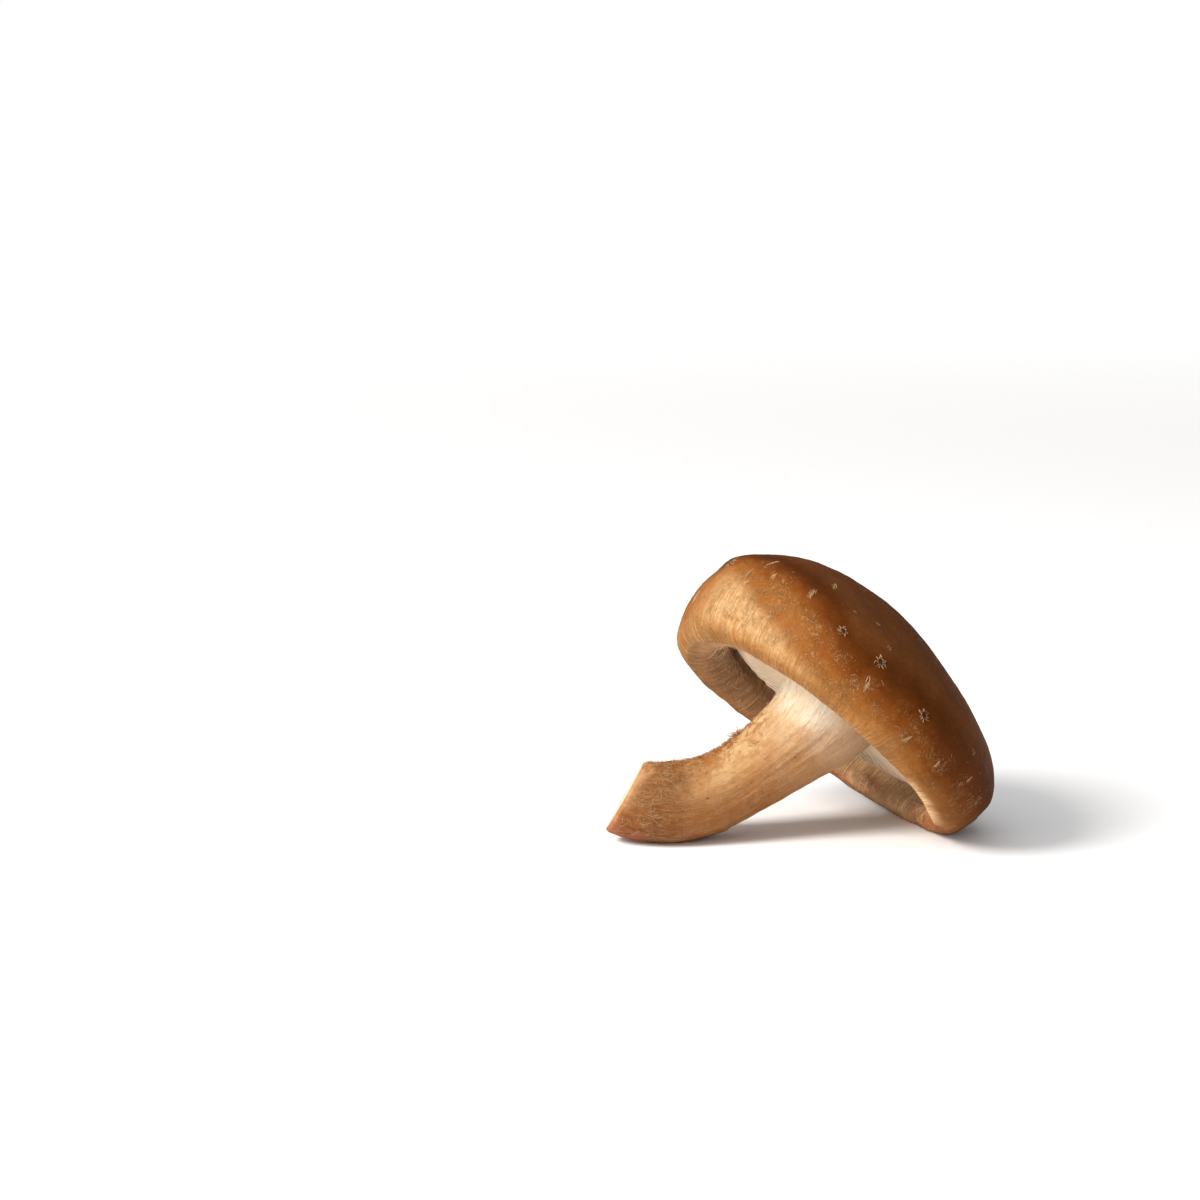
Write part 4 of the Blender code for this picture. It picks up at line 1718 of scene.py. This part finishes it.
@dataclass
class Stem:
    """The bent stem, from inside the cap to its slanting cut foot, in millimetres and degrees."""

    path: tuple[tuple[float, float, float, float], ...] = (
        (52.4, 9.6, 32.7, 12.0),
        (48.8, 7.2, 27.7, 11.8),
        (44.7, 5.6, 23.2, 10.5),
        (40.0, 4.6, 19.4, 9.2),
        (33.7, 3.4, 15.1, 8.3),
        (26.7, 1.9, 10.8, 8.0),
        (19.0, 0.3, 8.4, 8.3),
        (11.6, -0.8, 8.4, 8.6),
        (5.2, -0.8, 9.7, 8.0),
    )
    sides: int = 200
    rings: int = 272
    foot_chord: int = 17  # rings between the points that the cut's direction is read from
    oval: float = 0.03
    furrow: float = 0.12
    furrows: int = 7
    cut_tilt: float = 16.0
    cut_turn: float = -4.6
    cut_reach: float = 14.0
    rounding: float = 0.5
    face_rings: int = 16
    # Heights of the coarse and fine ribs, the broad and small lumps, the torn skin on top away from and at
    # the tear, and the ledge underneath.
    ribs: tuple[float, float] = (0.16, 0.09)
    lumps: tuple[float, float] = (0.22, 0.07)
    torn: tuple[float, float] = (0.08, 0.16)
    ledge: float = 0.35

    def centres(self) -> list[Vector]:
        """Points of the centre line with the radius as a fourth number, in metres."""
        return evenly([Vector(row) * MM for row in self.path], self.rings)

    def relief(self, share: float, angle: float, point: Vector) -> float:
        """Height of the surface over its smooth form, in metres."""
        around = Vector((math.cos(angle) * 2.2, math.sin(angle) * 2.2, share * 1.6))
        ribs = self.ribs[0] * wobble(around * 3.0, 1.0, 4.0) + self.ribs[1] * wobble(around * 7.0, 1.0, 9.0)
        lumps = self.lumps[0] * wobble(point, 7.0 * MM, 6.0) + self.lumps[1] * wobble(point, 2.0 * MM, 7.0)
        ragged = smooth_step(0.5, 0.95, math.sin(angle)) * smooth_step(0.3, 0.42, share)
        torn = self.torn[0] + self.torn[1] * smooth_step(0.72, 0.58, share)
        tear = torn * ragged * wobble(point, 1.3 * MM, 12.0)
        under = smooth_step(-0.2, -0.8, math.sin(angle))
        ledge = self.ledge * under * smooth_step(0.672, 0.655, share) * smooth_step(0.45, 0.62, share)
        return (ribs + lumps + tear - ledge) * MM

    def build(self, material: Material) -> tuple[Object, SurfaceGrid]:
        """Builds the stem with its cut face.

        Args:
            material: Its finish.

        Returns:
            The stem as one closed piece, and its surface, whose share is 0 in the cap and 1 at the cut.
        """
        path = self.centres()
        spots = [row.to_3d() + SET_OUT_SHIFT for row in path]
        foot = spots[-1]
        heading = (spots[-1] - spots[-1 - self.foot_chord]).normalized()
        tilt = Matrix.Rotation(math.radians(self.cut_tilt), 3, "Y")
        face = (Matrix.Rotation(math.radians(self.cut_turn), 3, "Z") @ tilt @ heading).normalized()
        rings, places, cuts = [], [], []
        for k, row in enumerate(path):
            ahead, behind = spots[min(k + 1, self.rings)], spots[max(k - 1, 0)]
            tangent = (ahead - behind).normalized()
            turned = 1.0 - smooth_step(0.0, self.cut_reach * MM, (spots[k] - foot).length)
            plane = tangent.lerp(face, turned).normalized()
            rings.append(self.ring(row, spots[k], tangent, plane, k / self.rings, places))
            cuts += [0.0] * self.sides
        for n in range(1, self.face_rings):
            share = n / self.face_rings
            keep = 1.0 - share
            rim = rings[self.rings]
            rings.append([foot + (p - foot) * keep + self.pith(foot, p, keep, face) for p in rim])
            places += [Vector((0.0, 0.0, 1.0))] * self.sides
            cuts += [smooth_step(0.0, 0.10, share)] * self.sides
        bm = bmesh.new()
        skin_rows = ring_skin(bm, rings)
        close_end(bm, skin_rows[0], spots[0], False)
        close_end(bm, skin_rows[-1], foot + self.pith(foot, foot, 0.0, face), True)
        places += [Vector((0.0, 0.0, 0.0)), Vector((0.0, 0.0, 1.0))]
        cuts += [0.0, 1.0]
        bmesh.ops.recalc_face_normals(bm, faces=bm.faces)
        for vertex in bm.verts:
            vertex.co.z = max(vertex.co.z, 0.0)
        mesh = mesh_from(bm, "stem")
        store_vectors(mesh, "place", places)
        store_numbers(mesh, "cut", cuts)
        mesh.materials.append(material)
        shares = [k / self.rings for k in range(self.rings + 1)]
        return new_object("stem", mesh), SurfaceGrid(rings[: self.rings + 1], shares)

    def pith(self, foot: Vector, rim: Vector, keep: float, face: Vector) -> Vector:
        """How far a point of the cut face stands back from the plane of the cut, with its grain."""
        spot = foot + (rim - foot) * keep
        dish = -0.35 * (1.0 - keep**2)
        grain = 0.18 * wobble(spot, 1.6 * MM, 3.0) * (1.0 - keep**6)
        return face * (dish + grain) * MM

    def ring(
        self, row: Vector, spot: Vector, tangent: Vector, plane: Vector, share: float, places: list[Vector]
    ) -> list[Vector]:
        """Points round the stem where it crosses a plane through its centre line.

        Args:
            row: The centre line's point with the radius as its fourth number.
            spot: The centre in the world.
            tangent: The direction of the centre line.
            plane: The normal of the plane.
            share: How far along the stem it is, from 0 to 1.
            places: Takes the place of each point, for the finish.

        Returns:
            The ring's points.
        """
        side = (Vector((0, 1, 0)) - tangent * tangent.y).normalized()
        rise = side.cross(tangent)
        pinch = self.rounding * MM * (1.0 - smooth_step(1.0, 0.985, share))
        ring = []
        for j in range(self.sides):
            angle = math.tau * j / self.sides
            out = side * math.cos(angle) * (1.0 + self.oval) + rise * math.sin(angle)
            radius = row.w + self.furrow * MM * math.sin(self.furrows * angle) - pinch
            radius += self.relief(share, angle, spot + out * row.w)
            step = out * radius
            ring.append(spot + step - tangent * (step.dot(plane) / tangent.dot(plane)))
            places.append(Vector((math.cos(angle), math.sin(angle), share)))
        return ring


@dataclass(frozen=True)
class StemFibres:
    """Fibres along the stem, most of them lying close and some torn loose."""

    grid: SurfaceGrid
    close: int = 460
    close_band: tuple[float, float] = (0.12, 0.93)
    close_stray: float = 7.0  # degrees off the way along
    # The loose ones and the dense short fringe stand along the top, which the light comes over. Their sides,
    # in degrees, and their shares of the length have these means and spreads.
    loose: int = 400
    loose_side: tuple[float, float] = (86.0, 26.0)
    loose_share: tuple[float, float] = (0.62, 0.17)
    fringe: int = 420
    fringe_side: tuple[float, float] = (80.0, 9.0)
    fringe_share: tuple[float, float] = (0.58, 0.09)
    tuft: Mark = Mark(82.0, 0.460, 1.2, 36)
    loops: int = 70
    loop_band: tuple[float, float] = (0.86, 0.985)
    loop_sides: tuple[float, float] = (100.0, 240.0)
    dots: tuple[Mark, ...] = (
        Mark(169.0, 0.718, 0.42),
        Mark(184.0, 0.357, 0.40),
        Mark(205.0, 0.530, 0.30),
        Mark(140.0, 0.840, 0.30),
        Mark(300.0, 0.600, 0.40),
        Mark(40.0, 0.550, 0.40),
    )
    slit: Mark = Mark(226.0, 0.920, 1.6)
    seed: int = 41

    def build(self, workshop: Workshop, light: Material, dark: Material) -> list[Object]:
        """Builds the fibres, the dark dots and the slit.

        Args:
            workshop: The modelling trees.
            light: Finish of the fibres.
            dark: Finish of the dots and the slit.

        Returns:
            The pieces.
        """
        draw = random.Random(self.seed)
        fibres = StrandBundle("stem_fibres")
        lying = StrandKind((2.0, 8.0), (0.014, 0.034), curl=0.8, rise=0.03, base=-0.005, tint=(0.0, 0.7))
        for _ in range(self.close):
            heading = math.radians(90.0 + draw.gauss(0.0, self.close_stray))
            share = draw.uniform(*self.close_band)
            fibres.lay(self.grid, lying, share, draw.uniform(0.0, math.tau), heading, draw)
        standing = StrandKind((0.6, 2.2), (0.030, 0.070), curl=1.8, tip=0.7, tint=(0.3, 1.0), steps=5)
        for _ in range(self.loose):
            angle = math.radians(draw.gauss(*self.loose_side))
            share = min(max(draw.gauss(*self.loose_share), 0.15), 0.975)
            fibres.lay(self.grid, standing, share, angle, draw.uniform(0.0, math.tau), draw)
        short = replace(standing, length=(0.3, 1.2), girth=(0.035, 0.080), tip=0.55, tint=(0.6, 1.0))
        for _ in range(self.fringe):
            angle = math.radians(draw.gauss(*self.fringe_side))
            share = draw.gauss(*self.fringe_share)
            fibres.lay(self.grid, short, share, angle, draw.uniform(0.0, math.tau), draw)
        tall = replace(standing, length=(1.2, 3.2), tip=1.8, tint=(0.2, 0.8))
        for _ in range(self.tuft.count):
            away = self.tuft.size * draw.random() * MM
            start = self.grid.beside(self.tuft.share, self.tuft.angle, draw.uniform(0.0, math.tau), away)
            fibres.lay(self.grid, tall, *start, math.radians(draw.uniform(60.0, 140.0)), draw)
        looped = StrandKind((0.8, 3.0), (0.025, 0.050), curl=3.0, rise=0.22, tint=(0.0, 0.3), taper=0.4)
        for _ in range(self.loops):
            share = draw.uniform(*self.loop_band)
            angle = math.radians(draw.uniform(*self.loop_sides))
            fibres.lay(self.grid, looped, share, angle, draw.uniform(0.0, math.tau), draw)
        spots = StrandBundle("stem_spots")
        for dot in self.dots:
            girth = (dot.size / 3.0, dot.size / 2.5)
            kind = StrandKind((dot.size, dot.size), girth, 0.3, rise=0.0, base=-0.02, steps=3)
            spots.lay(self.grid, kind, dot.share, dot.angle, math.pi / 2.0, draw)
        slit = self.slit
        kind = StrandKind((slit.size, slit.size), (0.14, 0.16), 0.3, rise=0.0, base=-0.05, taper=0.1)
        spots.lay(self.grid, kind, slit.share, slit.angle, math.radians(60.0), draw)
        return [fibres.build(workshop, light, 3), spots.build(workshop, dark, 6)]


# Stage


@dataclass(frozen=True)
class View:
    """The camera, set where the photograph was taken from."""

    place: tuple[float, float, float] = (-0.041830, -0.701684, 0.1733)
    pitch: float = 80.0
    focal_pixels: float = 3403.0
    frame_pixels: float = 1200.0
    sensor: float = 36.0

    def build(self) -> None:
        """Makes the camera the scene's own."""
        data = bpy.data.cameras.new("camera")
        data.sensor_width = self.sensor
        data.lens = self.sensor * self.focal_pixels / self.frame_pixels
        data.clip_start = 0.01
        data.clip_end = 50.0
        item = bpy.data.objects.new("camera", data)
        item.location = self.place
        item.rotation_euler = (math.radians(self.pitch), 0.0, 0.0)
        bpy.context.scene.collection.objects.link(item)
        bpy.context.scene.camera = item


@dataclass(frozen=True)
class Lamp:
    """A round soft light that faces the mushroom; its place and size are in metres and its power in watts."""

    name: str
    place: tuple[float, float, float]
    size: float
    power: float
    colour: Colour = (1.0, 0.97, 0.93)
    target: tuple[float, float, float] = (0.0, 0.0, 0.02)

    def build(self) -> None:
        """Adds the light."""
        data = bpy.data.lights.new(self.name, "AREA")
        data.shape = "DISK"
        data.size = self.size
        data.energy = self.power
        data.color = self.colour
        item = bpy.data.objects.new(self.name, data)
        item.location = self.place
        aim = Vector(self.target) - Vector(self.place)
        item.rotation_euler = aim.to_track_quat("-Z", "Y").to_euler()
        bpy.context.scene.collection.objects.link(item)


@dataclass(frozen=True)
class Studio:
    """A plain pale floor and soft light."""

    floor_radius: float = 4.0
    front_sky: float = 1.05  # how strongly the sky lights the mushroom from the side that the key light is on
    back_sky: float = 0.08  # and from the other side
    sky_axis: tuple[float, float, float] = (-0.62, -0.66, 0.42)
    backdrop: float = 1.0  # how bright the sky itself looks
    lamps: tuple[Lamp, ...] = (
        Lamp("key", (-0.79, -0.457, 0.714), 0.5, 18.0),
        Lamp("low fill", (-1.10, -0.62, 0.13), 0.3, 5.0),
    )

    def build(self) -> None:
        """Makes the floor, the sky and the lamps."""
        bm = bmesh.new()
        bmesh.ops.create_circle(bm, cap_ends=True, radius=self.floor_radius, segments=96)
        floor = new_object("floor", mesh_from(bm, "floor"))
        floor.data.materials.append(FloorFinish().build())
        world = bpy.data.worlds.new("sky")
        world.use_nodes = True
        g = Graph(world.node_tree)
        sky = world.node_tree.nodes["Background"].inputs
        sky["Color"].default_value = (1.0, 1.0, 1.0, 1.0)
        way = g.node("ShaderNodeNewGeometry").outputs["Incoming"]
        toward = g.vector("DOT_PRODUCT", way, tuple(-Vector(self.sky_axis).normalized()))
        lit = g.span(toward, -0.9, 0.9, self.back_sky, self.front_sky)
        seen = g.node("ShaderNodeLightPath").outputs["Is Camera Ray"]
        g.feed(sky["Strength"], g.maths("MULTIPLY_ADD", seen, g.maths("SUBTRACT", self.backdrop, lit), lit))
        bpy.context.scene.world = world
        for lamp in self.lamps:
            lamp.build()


def main() -> None:
    """Builds every piece in order and hands them to the frame."""
    logging.basicConfig(level=logging.INFO, format="%(message)s")
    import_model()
    View().build()
    Studio().build()
    effects = Effects()
    workshop = Workshop()
    cap_skin = CapFinish().build(effects)
    gill_flesh = GillFinish().build(effects)
    stem_skin = StemFinish().build(effects)
    finish = {name: FibreFinish(name, *tones).build() for name, tones in FIBRE_TONES.items()}
    form = CapForm()
    cap, cap_grid = CapBody(form).build(cap_skin, gill_flesh)
    stem, stem_grid = Stem().build(stem_skin)
    cap_marks = CapMarks(cap_grid)
    marks = cap_marks.build(workshop, finish["torn skin"], finish["scar hollow"], finish["skin fibril"])
    lining = Lining(cap_grid)
    loose = StemFibres(stem_grid).build(workshop, finish["stem fibre"], finish["scar hollow"])
    pieces = {
        "cap_skin": [cap, *marks],
        "gills": [Gills(form).build(workshop, gill_flesh)],
        "veil": [lining.fuzz(workshop, finish["lining fuzz"]), lining.veil(workshop, finish["veil thread"])],
        "stem_skin": [stem, *loose],
    }
    for slot, items in pieces.items():
        for piece in items:
            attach(piece, BODY)
            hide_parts(NODE)
            log.info("%s: %d triangles", piece.name, triangles(piece.data))
    bpy.context.scene.view_settings.view_transform = "Standard"


if __name__ == "__main__":
    main()
